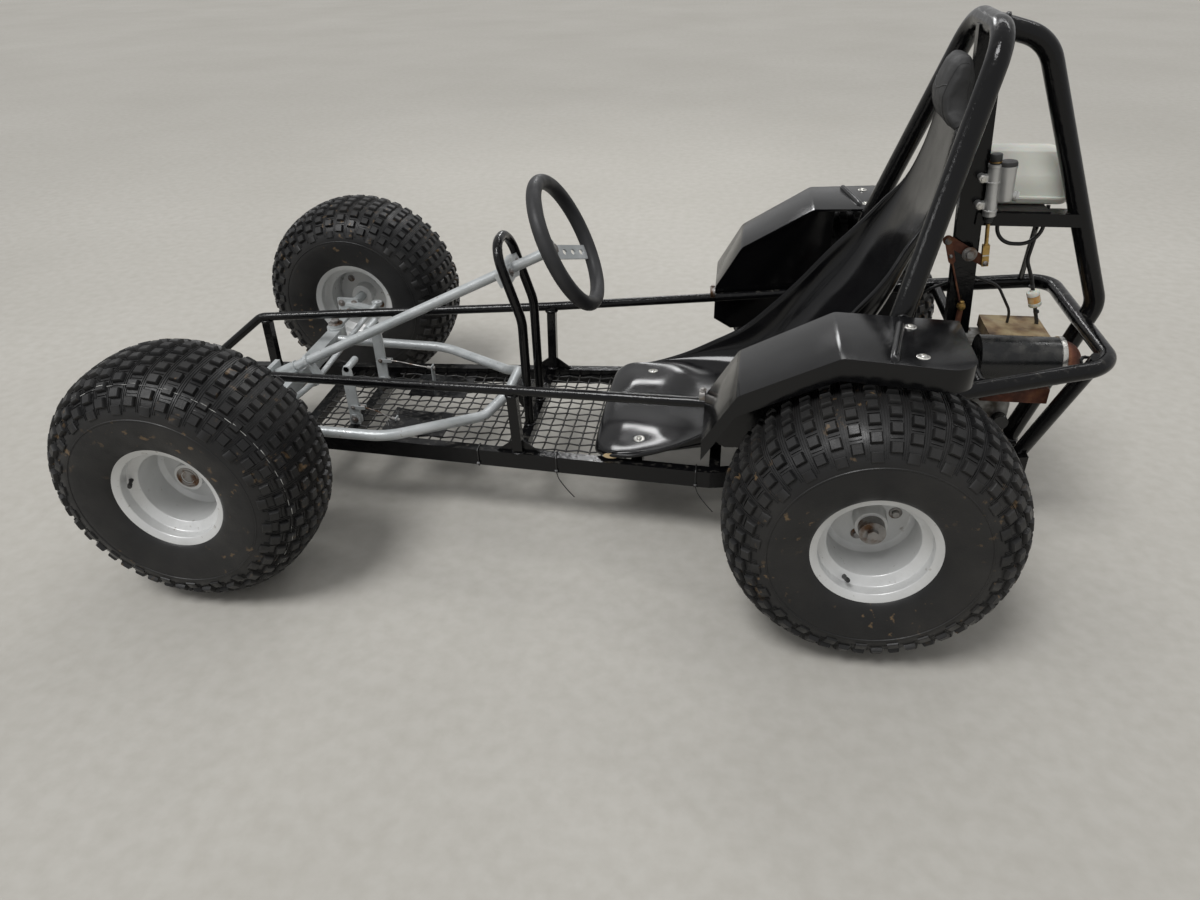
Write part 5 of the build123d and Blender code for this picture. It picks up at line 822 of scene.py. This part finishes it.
# Welds: place (back, side, up), axis and radius of each bead; those off the middle are on both sides
WELDS = [
    ((0.187, 0, 1.037), (0.966, 0, -0.258), 0.0205), ((0.38, 0, 0.1705), (0.3, 0, 1), 0.0205),
    ((0.215, 0.2505, 0.4298), (0, 1, 0), 0.013), ((-0.009, 0.3155, 0.41), (0.26, -0.19, 0.95), 0.0215),
    ((-0.742, 0.063, 0.1712), (0, 0, 1), 0.0115), ((0.0377, 0.3022, 0.5807), (0, 1, 0), 0.0105),
    ((-0.036, 0.3092, 0.3877), (1, 0.11, 0.05), 0.0118), ((-0.735, 0.21, 0.1862), (0, 0.1, 1), 0.0145),
    ((-0.735, 0.227, 0.342), (0, 0.1, 1), 0.013), ((-1.5, 0.1568, 0.1862), (0, 0.05, 1), 0.0145),
    ((-1.5, 0.1602, 0.312), (0, 0.05, 1), 0.013)]
ONE_SIDED_WELDS = [((0.381, -0.081, 0.1712), (0.2, -0.37, 0.9), 0.0165),
                   ((0.431, -0.18, 0.4515), (0.2, -0.37, 0.9), 0.0165),
                   ((0.398, 0.253, 0.456), (0.27, 0.97, -0.8), 0.0065)]


def welds():
    beads = Shape()
    for (back, across, up), axis, radius in WELDS:
        for side in (-1, 1) if across else (1,):
            beads.weld(at(back, side * across, up), (axis[0], side * axis[1], axis[2]), radius)
    for place, axis, radius in ONE_SIDED_WELDS:
        beads.weld(at(*place), axis, radius)
    made_from("frame_welds", beads, "frame_paint", sharp=70)


# Cable ties round the near floor rail, all but the first with a tail hanging
TIES = (-0.831, -0.6455, -0.330)
TIE_TAIL = scaled([(0, 0, 0), (6, -4, -18), (22, -8, -40), (41, -10, -62)])
TIE_KNOT = scaled([(3.6, -3), (3.8, 0), (3.6, 3)])
TIE_R = 0.0016
TIE_GAP = TIE_R + 0.0006
RAIL_TOP, RAIL_BOTTOM, RAIL_WIDTH = 0.185, 0.145, 0.025


def cable_ties():
    ties = Shape()
    for back in TIES:
        inner = rail_inner_half(back)
        outer = inner + RAIL_WIDTH
        corners = [(TIE_GAP - inner, RAIL_BOTTOM), (-inner, RAIL_BOTTOM - TIE_GAP),
                   (-outer, RAIL_BOTTOM - TIE_GAP), (-outer - TIE_GAP, RAIL_BOTTOM),
                   (-outer - TIE_GAP, RAIL_TOP), (-outer, RAIL_TOP + TIE_GAP),
                   (-inner, RAIL_TOP + TIE_GAP), (TIE_GAP - inner, RAIL_TOP)]
        ties.swept([at(back, y, z) for y, z in corners], TIE_R, closed=True)
        knot = at(back, -outer - TIE_GAP - 0.001, RAIL_BOTTOM + 0.006)
        ties.turned(TIE_KNOT, knot, BACK, 6)
        if back != TIES[0]:
            ties.swept([knot + Vector(step) for step in smooth_curve(TIE_TAIL, 5)], TIE_R * 0.8, 6)
    made_from("cable_ties", ties, "hose_rubber")


# Steering: screws on the hub, bolts of the bearing, nuts on kingpins, ball joints and uprights
COLUMN_DIR = Vector(joints["column_turn"]["axis"]).normalized()
HUB_ALONG, HUB_SCREW_R = 0.749, 0.025
BEARING_BOLT_SIDE, BEARING_BOLT_LIFT = 0.034, 0.014
KINGPIN_NUT_LIFT, BALL_NUT_DROP = 0.0322, 0.0262
UPRIGHT_SIDE, UPRIGHT_NUTS = 0.3408, ((-0.019, 0.018), (0.019, 0.018), (0.0, -0.008))


def steering_details():
    hub, plate = Shape(), Shape()
    top = joint_place("column_turn") + COLUMN_DIR * HUB_ALONG
    over = COLUMN_DIR.cross(RIGHT)
    for k in range(6):
        turn = radians(60 * k + 30)
        place = top + (RIGHT * cos(turn) + over * sin(turn)) * HUB_SCREW_R
        hub.button_head(place, COLUMN_DIR, 0.0032)
        hub.hex_head(place - COLUMN_DIR * 0.004, -COLUMN_DIR, 0.0042)
    hub.hex_head(top, COLUMN_DIR, 0.0115)
    made_from("steering_hub_screws", hub, "worn_steel", body="steering_column")
    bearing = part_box("column_bearing")
    middle = (bearing[0] + bearing[1]) / 2
    for side in (-1, 1):
        for way in (COLUMN_DIR, -COLUMN_DIR):
            plate.hex_head(middle + RIGHT * side * BEARING_BOLT_SIDE + way * BEARING_BOLT_LIFT, way, 0.0062)
    made_from("bearing_bolts", plate, "worn_steel")
    for side, name in SIDES:
        kingpin, wheel = joint_place(f"steer_{name}"), joint_place(f"spin_front_{name}")
        nuts = Shape()
        for way in (UP, -UP):
            nuts.hex_head(kingpin + way * KINGPIN_NUT_LIFT, way, 0.0125)
        nuts.hex_head(joint_place(f"tie_{name}") - UP * BALL_NUT_DROP, -UP, 0.0068)
        for x, z in UPRIGHT_NUTS:
            nuts.hex_head(Vector((wheel.x + x, side * UPRIGHT_SIDE, wheel.z + z)), RIGHT * -side, 0.0062)
        made_from(f"knuckle_nuts_{name}", nuts, "worn_steel", body=f"knuckle_{name}")


# Muffler: a bright band at its end and the rusty dome behind it
MUFFLER_END = (0.398, -0.118, 0.425)
MUFFLER_BAND = scaled([(48, -9.5), (50.2, -9), (50.4, -1), (49.8, 0.6), (42, 0.6)])
DOME_REACH, DOME_R, DOME_TIP_R = 0.0406, 0.0426, 0.0035


def muffler_end():
    band, dome = Shape(), Shape()
    end = at(*MUFFLER_END)
    band.turned(MUFFLER_BAND, end, BACK, 48)
    made_from("muffler_band", band, "bright_steel")
    outline = [(DOME_R * cos(radians(10 * k)), DOME_REACH * sin(radians(10 * k)))
               for k in range(1, 9)]
    dome.turned([(DOME_R, -0.001), *outline, (DOME_TIP_R, DOME_REACH)], end, BACK, 40)
    made_from("muffler_dome", dome, "rusty_steel")


# Chain: links round both sprockets, alternating inner and outer plates on rollers
CHAIN_PITCH = 0.0127
CHAIN_SIDE, CHAIN_PLATE_SIDE, ROLLER = 0.095, 0.0054, scaled([(2.8, -5.8), (2.8, 5.8)])
# Back, height and radius of each sprocket
CHAIN_BIG, CHAIN_SMALL = (0.0, 0.273, 0.0906), (0.225, 0.255, 0.0356)
LINK_R, WAIST_R, PLATE_SHEET = 0.0049, 0.0034, 0.0013


def chain_path():
    """The chain's centre line as points (back, up), a pitch apart."""
    (x0, z0, r0), (x1, z1, r1) = CHAIN_BIG, CHAIN_SMALL
    fall = atan2(z1 - z0, x1 - x0)
    lean = acos((r0 - r1) / hypot(x1 - x0, z1 - z0))
    line = []
    for x, z, r, start, sweep, steps in ((x0, z0, r0, fall + lean, 2 * pi - 2 * lean, 120),
                                         (x1, z1, r1, fall - lean, 2 * lean, 60)):
        for k in range(steps + 1):
            turn = start + sweep * k / steps
            line.append(Vector((x + r * cos(turn), z + r * sin(turn))))
    line.append(line[0])
    lengths = [0.0]
    for a, b in zip(line, line[1:]):
        lengths.append(lengths[-1] + (b - a).length)
    count = 2 * round(lengths[-1] / CHAIN_PITCH / 2)
    points = []
    i = 0
    for k in range(count):
        distance = lengths[-1] * k / count
        while lengths[i + 1] < distance:
            i += 1
        points.append(line[i].lerp(line[i + 1], (distance - lengths[i]) / (lengths[i + 1] - lengths[i])))
    return points


def chain():
    links = Shape()
    points = chain_path()
    for k, point in enumerate(points):
        after = points[(k + 1) % len(points)]
        along = (after - point).normalized()
        over = Vector((-along.y, along.x))
        middle = (point + after) / 2
        outline = []
        for pin, start, waist in ((point, 90, WAIST_R), (after, -90, -WAIST_R)):
            outline.append(middle + over * waist)
            for step in range(5):
                turn = radians(start + 45 * step)
                outline.append(pin + along * LINK_R * cos(turn) + over * LINK_R * sin(turn))
        for face in (-1, 1):
            outer = CHAIN_SIDE + face * (CHAIN_PLATE_SIDE - (0.0 if k % 2 else PLATE_SHEET))
            links.rings([[at(p.x, side, p.y) for p in outline] for side in (outer, outer - face * PLATE_SHEET)])
        links.turned(ROLLER, at(point.x, CHAIN_SIDE, point.y), RIGHT, 8)
    made_from("chain_links", links, "worn_steel", "chain")


# Brake master cylinder: outlines of (radius, height) turned on its axis, in millimetres, and
# the places of its parts
MASTER_LOW, MASTER_HIGH = (0.2255, -0.0275, 0.694), (0.2168, -0.0275, 0.8)
MASTER_BODY = scaled([(10, 0), (13, 1.2), (13, 9), (14.2, 10), (14.2, 13.5), (12.6, 14.5), (12.2, 66),
                      (13.6, 66.6), (13.6, 69.2), (12.2, 70), (12.2, 97), (13.4, 97.8), (13.4, 103),
                      (10, 103.5)])
MASTER_CAP = scaled([(10, 103), (10.8, 103.4), (10.8, 108.5), (11.2, 109), (11.2, 121), (10, 122.5),
                     (6, 122.8)])
MASTER_RING = scaled([(10.4, 106), (11.5, 106.2), (11.5, 108.8), (10.4, 109)])
RESERVOIR = scaled([(9, 30), (15, 33), (16.6, 40), (17, 96), (18.2, 96.6), (18.2, 100.5), (15, 100.8)])
RESERVOIR_LID = scaled([(17, 100.4), (17.8, 100.8), (17.8, 105), (16, 108.5), (9, 109.8)])
RESERVOIR_BEHIND = 0.0235
BOOT = scaled([(9.8, 0), (9.8, -3), (8, -4.5), (9.2, -6.5), (7.4, -8.5), (8.6, -10.5), (6.8, -12.5), (5, -15)])
# The web between both as (height, reach behind the cylinder's axis)
WEB, WEB_HALF = scaled([(34, 4), (34, 20), (88, 20), (88, 4)]), 0.006
PORT = scaled([(8.5, 0), (8.5, 7.5), (10.2, 8.5), (10.2, 13), (6, 13.5)])
LUG = scaled([(6.8, -6.5), (7.8, -5.5), (7.8, 13.5), (6.8, 14)])
LUG_ARM = scaled([(0, -7.02), (18, -6.5), (18, 6.5), (0, 7.02)])
LUG_AHEAD, LUG_SHARES = 0.0215, (0.2, 0.70)


def master_cylinder():
    low, high = at(*MASTER_LOW), at(*MASTER_HIGH)
    up = (high - low).normalized()
    tower = low + BACK * RESERVOIR_BEHIND
    body, black, ring, screws = Shape(), Shape(), Shape(), Shape()
    body.turned(MASTER_BODY, low, up, 32)
    body.turned(RESERVOIR, tower, up, 32)
    body.rings([[low + up * height + BACK * reach + RIGHT * side for height, reach in WEB]
                for side in (-WEB_HALF, WEB_HALF)])
    body.turned(PORT, tower + up * 0.044 + BACK * 0.012, BACK * 0.95 - up * 0.3, 24)
    for share in LUG_SHARES:
        eye = low + up * ((high - low).length * share) - BACK * LUG_AHEAD
        body.turned(LUG, eye, RIGHT, 24)
        body.rings([[eye + Vector((x, y, z)) for x, z in LUG_ARM] for y in (-0.0045, 0.01)])
        screws.hex_head(eye - RIGHT * 0.0065, -RIGHT, 0.0046)
    for outline, place, sides in ((MASTER_CAP, low, 24), (RESERVOIR_LID, tower, 28), (BOOT, low, 24)):
        black.turned(outline, place, up, sides)
    ring.turned(MASTER_RING, low, up, 32)
    made_from("master_body", body, "cast_aluminium", "master_cylinder")
    made_from("master_caps_and_boot", black, "cap_plastic")
    made_from("master_ring", ring, "brass")
    made_from("master_screws", screws, "bright_steel")


# Bell crank: pivot nut, and pin heads as (back, side, up, size); the rod's nuts and the wire's clamp
CRANK_PIVOT = (0.203, -0.0298, 0.615)
PIVOT_WASHER = scaled([(15, 0), (15, 1.8), (14, 2.2), (10, 2.2)])
CRANK_PIN_HEADS = scaled([(158, -26.2, 640, 7.2), (236, -35.5, 598, 5.6), (168, -26.2, 608, 4.2)])
PIN_HEAD = [(1, 0), (1, 0.0016), (0.62, 0.0034), (0.3, 0.0038)]
ROD_FOOT, ROD_HEAD = (0.236, -0.0295, 0.598), (0.2268, -0.0276, 0.678)
# Place along the rod, radius and height of each nut
ROD_NUTS = scaled([(26, 6.2, 6), (34, 5, 4)])
CLEVIS_BAND, CLEVIS_BAND_AT = scaled([(8.8, 0), (8.8, 3), (7, 3.2)]), 0.015
WIRE_CLAMP = (0.209, -0.0245, 0.499)
CLAMP = scaled([(5, -5), (8.2, -4), (9, 0), (8.2, 4.5), (5.2, 5.5), (5.2, 10.5), (3.6, 12)])


def crank_details():
    nuts, brass_parts, band = Shape(), Shape(), Shape()
    nuts.turned(PIVOT_WASHER, at(*CRANK_PIVOT), -RIGHT, 30)
    nuts.hex_head(at(*CRANK_PIVOT) - RIGHT * 0.0018, -RIGHT, 0.0085)
    for back, side, up, size in CRANK_PIN_HEADS:
        nuts.turned([(share * size, height) for share, height in PIN_HEAD], at(back, side, up), -RIGHT)
    foot = at(*ROD_FOOT)
    run = (at(*ROD_HEAD) - foot).normalized()
    for start, radius, height in ROD_NUTS:
        brass_parts.turned([(radius, 0.0), (radius, height), (0.8 * radius, height + 0.0008)],
                           foot + run * start, run, 6)
    band.turned(CLEVIS_BAND, foot + run * CLEVIS_BAND_AT, run, 4)
    clamp = at(*WIRE_CLAMP)
    brass_parts.turned(CLAMP, clamp, UP, 18)
    brass_parts.hex_head(clamp - RIGHT * 0.0075, -RIGHT, 0.0046)
    made_from("crank_nuts", nuts, "worn_steel")
    made_from("rod_nuts", brass_parts, "brass")
    made_from("clevis_band", band, "bright_steel")


# Fuel tank: rings of (height, inset) round its plan, its ribbed cap, the hose clamps and the filter
TANK_PLAN = (0.150, 0.398, 0.024, 0.152)
TANK_RINGS = scaled([(701.2, 14), (702.5, 8), (706, 5), (713, 4), (714, 0.4), (718, 0.4), (719, 4.5),
                     (740, 5.5), (756, 7.5), (760, 9.5), (780, 19), (793, 25.5), (800.5, 33), (803.8, 43),
                     (804.6, 56)])
TANK_CORNER = 0.030
TANK_CAP_PLACE = (0.2, 0.088, 0.804)
TANK_CAP = scaled([(20.5, 0), (21.5, 1.5), (21.5, 11), (19, 15), (12, 18), (5, 18.8)])
CAP_RIB, CAP_RIB_R = scaled([(21.2, 2), (21.2, 10.5), (18.5, 14.2)]), 0.0013
# Clamps as (back, up, lean of their axis)
HOSE_CLAMPS = [(0.26, 0.685, 0), (0.39, 0.685, 0), (0.359, 0.527, 0.35), (0.3815, 0.469, 0.35)]
HOSE_CLAMP = scaled([(4.6, -3), (5.8, -2.6), (5.8, 2.6), (4.6, 3)])
HOSE_SIDE = 0.030
FILTER_TOP, FILTER_END = (0.3625, HOSE_SIDE, 0.519), (0.3775, HOSE_SIDE, 0.479)
FILTER_CAP = scaled([(3, -1), (3.6, 0), (5.2, 3), (11.8, 4.2), (13.2, 6), (13.2, 12.8), (11.8, 13.4)])


def tank_details():
    front, rear, near, far = TANK_PLAN
    shape, cap, clamps, core, ends = Shape(), Shape(), Shape(), Shape(), Shape()
    rings = []
    for height, inset in TANK_RINGS:
        radius = max(0.008, TANK_CORNER - inset * 0.5)
        ring = []
        for corner, (x, y, sx, sy) in enumerate(((rear, far, -1, -1), (front, far, 1, -1), (front, near, 1, 1),
                                                 (rear, near, -1, 1))):
            for k in range(7):
                turn = pi / 2 * (corner + k / 6)
                ring.append(at(x + sx * (inset + radius) + radius * cos(turn),
                               y + sy * (inset + radius) + radius * sin(turn), height))
        rings.append(ring)
    shape.rings(rings)
    made_from("fuel_tank_shell", shape, "tank_plastic", "fuel_tank", sharp=26)
    place = at(*TANK_CAP_PLACE)
    cap.turned(TANK_CAP, place, UP, 40)
    for turn in turns(20):
        out = Vector((cos(turn), sin(turn), 0))
        cap.swept([place + out * reach + UP * height for reach, height in CAP_RIB], CAP_RIB_R, 6)
    made_from("tank_cap_ribbed", cap, "cap_plastic", "tank_cap")
    for back, up, lean in HOSE_CLAMPS:
        clamps.turned(HOSE_CLAMP, at(back, HOSE_SIDE, up), (lean, 0, -1), 16)
    made_from("hose_clamps", clamps, "cap_plastic")
    top, end = at(*FILTER_TOP), at(*FILTER_END)
    run, reach = (end - top).normalized(), (end - top).length
    core.turned([(0.0105, 0.0125), (0.0128, 0.0135), (0.0128, reach - 0.0135), (0.0105, reach - 0.0125)],
                top, run, 28)
    for start, way in ((top, run), (end, -run)):
        ends.turned(FILTER_CAP, start, way, 28)
    made_from("filter_core", core, "filter_plastic", "fuel_filter")
    made_from("filter_ends", ends, "tank_plastic")


# Pedals: flat levers with a foot peg, a pivot bolt, and a clevis with its cable to a stop on the floor
PEDAL_BACK, PEDAL_SIDE, PEDAL_FOOT_Z = -1.170, 0.100, 0.170
# Side, top of the lever, height of the clevis, then the cable's run of (back, inward, up)
PEDAL_TABLE = [
    (-1, 0.320, 0.214, [(-1.147, 0, 0.214), (-1.115, 0.002, 0.204), (-1.085, 0.004, 0.186),
                        (-1.07, 0.005, 0.18)]),
    (1, 0.355, 0.241, [(-1.147, 0, 0.241), (-1.12, 0, 0.238), (-1.075, 0, 0.23), (-1.035, 0, 0.224)])]
PEDAL_OUTLINE = [(-0.012, 0.0), (-0.0135, 0.012), (-0.0135, 0.7), (-0.0110, 0.93), (-0.0060, 1.0),
                 (0.0060, 1.0), (0.0110, 0.93), (0.0135, 0.7), (0.0135, 0.012), (0.012, 0.0)]
PEDAL_SHEET = 0.006
FOOT_PEG = scaled([(7, -3), (8.5, -2), (8.5, 54), (7, 55)])
PIVOT_EAR = scaled([(-13, -12), (13, -12), (13, 4), (6, 13), (-6, 13), (-13, 4)])
CLEVIS_CHEEK = scaled([(-5, -5), (30, -4), (30, 4), (-5, 5)])
CABLE_NUT = scaled([(5.5, -6), (5.5, 4), (4, 5)])
CABLE_END = scaled([(3.2, -12), (4.6, -11), (4.6, 4), (6, 4.5), (6, 8.5), (3.2, 9)])
CABLE_R, STOP_HALF, STOP_RISE = 0.0014, 0.009, 0.008


def pedals():
    levers, fittings = Shape(), Shape()
    for side, top, clevis_z, run in PEDAL_TABLE:
        y = side * PEDAL_SIDE
        height = top + 0.004 - PEDAL_FOOT_Z
        levers.rings([[at(PEDAL_BACK + x, y + face * PEDAL_SHEET / 2, PEDAL_FOOT_Z + share * height)
                       for x, share in PEDAL_OUTLINE] for face in (-1, 1)])
        levers.turned(FOOT_PEG, at(PEDAL_BACK, y, top - 0.004), RIGHT * -side)
        # Both ears of the pivot and both cheeks of the clevis: side, height, outline, half sheet, bolt
        for offset, z, outline, half, size in ((0.0075, PEDAL_FOOT_Z + 0.012, PIVOT_EAR, 0.002, 0.0058),
                                               (0.005, clevis_z, CLEVIS_CHEEK, 0.0012, 0.0036)):
            for face in (-1, 1):
                middle = at(PEDAL_BACK, y + face * offset, z)
                levers.rings([[middle + Vector((x, step, z)) for x, z in outline] for step in (-half, half)])
                fittings.hex_head(middle + RIGHT * face * half, RIGHT * face, size)
        line = [at(back, y - side * inward, up) for back, inward, up in run]
        fittings.turned(CABLE_NUT, line[0], line[1] - line[0], 6)
        fittings.swept(line, CABLE_R, 6)
        stop = line[-1]
        fittings.turned(CABLE_END, stop, stop - line[-2], 12)
        rise = stop.z + STOP_RISE
        corners = ((-1, PEDAL_FOOT_Z), (1, PEDAL_FOOT_Z), (1, rise), (-1, rise))
        levers.rings([[Vector((stop.x + x, stop.y + w * STOP_HALF, z)) for w, z in corners]
                      for x in (0.0010, 0.0040)])
    made_from("pedal_levers", levers, "silver_paint", "pedals")
    made_from("pedal_fittings", fittings, "worn_steel")


# Heel plates: thin sheets over the mesh, crumpled a little; (side, lift at the front)
HEEL_BACK, HEEL_LENGTH, HEEL_WIDTH, HEEL_SIDE, HEEL_Z = -1.010, 0.150, 0.110, 0.095, 0.1712
HEEL_TABLE = [(-1, 0.011), (1, 0.002)]
HEEL_ACROSS, HEEL_ALONG = 14, 18
HEEL_CRUMPLE, HEEL_SHEET = 0.0012, 0.0014


def heel_plates():
    sheets = Shape()
    for side, lift in HEEL_TABLE:
        rings = []
        for j in range(HEEL_ALONG + 1):
            back = HEEL_BACK + HEEL_LENGTH * (j / HEEL_ALONG - 0.5)
            top, bottom = [], []
            for k in range(HEEL_ACROSS + 1):
                y = side * HEEL_SIDE + HEEL_WIDTH * (k / HEEL_ACROSS - 0.5)
                crumple = HEEL_CRUMPLE * (1 + noise.noise(Vector((back * 30, y * 30, side))))
                z = HEEL_Z + lift * (1 - j / HEEL_ALONG) ** 3 + crumple
                top.append(at(back, y, z + HEEL_SHEET))
                bottom.append(at(back, y, z))
            rings.append(top + bottom[::-1])
        sheets.rings(rings)
    made_from("heel_sheets", sheets, "frame_paint", "heel_plates", sharp=50)


# Bolts on the engine and clips where each fender meets its rail
COVER_BOLTS, COVER_BOLT_R = (0.236, -0.102, 0.247), 0.049
# Stations, half width, height and size of each set of upright bolts
BOLT_SETS = [((0.150, 0.186, 0.325), 0.070, 0.176, 0.0062), ((0.250, 0.333), 0.040, 0.416, 0.0050)]
FENDER_CLIPS = (-0.322, 0.272, 0.389)
CLIP = scaled([(12.8, -6), (14, -5.5), (14, 5.5), (12.8, 6)])


def small_fasteners():
    bolts, clips = Shape(), Shape()
    back, side, up = COVER_BOLTS
    for k in range(4):
        turn = radians(45 + 90 * k)
        place = at(back + COVER_BOLT_R * cos(turn), side, up + COVER_BOLT_R * sin(turn))
        bolts.hex_head(place, -RIGHT, 0.0052)
    for stations, half, height, size in BOLT_SETS:
        for x in stations:
            for y in (-half, half):
                bolts.hex_head(at(x, y, height), UP, size)
    made_from("engine_bolts", bolts, "worn_steel")
    back, side, up = FENDER_CLIPS
    for way in (-1, 1):
        clips.turned(CLIP, at(back, way * side, up), (1, way * 0.06, 0))
        clips.hex_head(at(back, way * (side + 0.004), up + 0.013), UP, 0.0048)
    made_from("fender_clips", clips, "worn_steel")


# Nodes whose edges are only rounded: piece, node, width of the rounding, finish and body
SOFTENED = [("guard_tray", "muffler_guard", 0.0012, "guard_plate", "chassis"),
            ("exhaust_bracket_plate", "exhaust_bracket", 0.004, "rusty_steel", "chassis"),
            ("rear_rims", "rims_rear", 0.0016, "rim_paint", "rear_axle"),
            ("front_rim_left", "rim_front_left", 0.0016, "rim_paint", "front_wheel_left"),
            ("front_rim_right", "rim_front_right", 0.0016, "rim_paint", "front_wheel_right"),
            ("caliper_body", "brake_caliper", 0.003, "worn_steel", "chassis"),
            ("engine_block", "engine_case", 0.006, "engine_cast", "chassis")]

dress_nodes()
camera()
studio()
tyres()
seat()
fenders()
floor_mesh()
headrest()
wheel_details()
welds()
cable_ties()
steering_details()
muffler_end()
chain()
master_cylinder()
crank_details()
tank_details()
pedals()
heel_plates()
small_fasteners()
for row in SOFTENED:
    softened(*row)
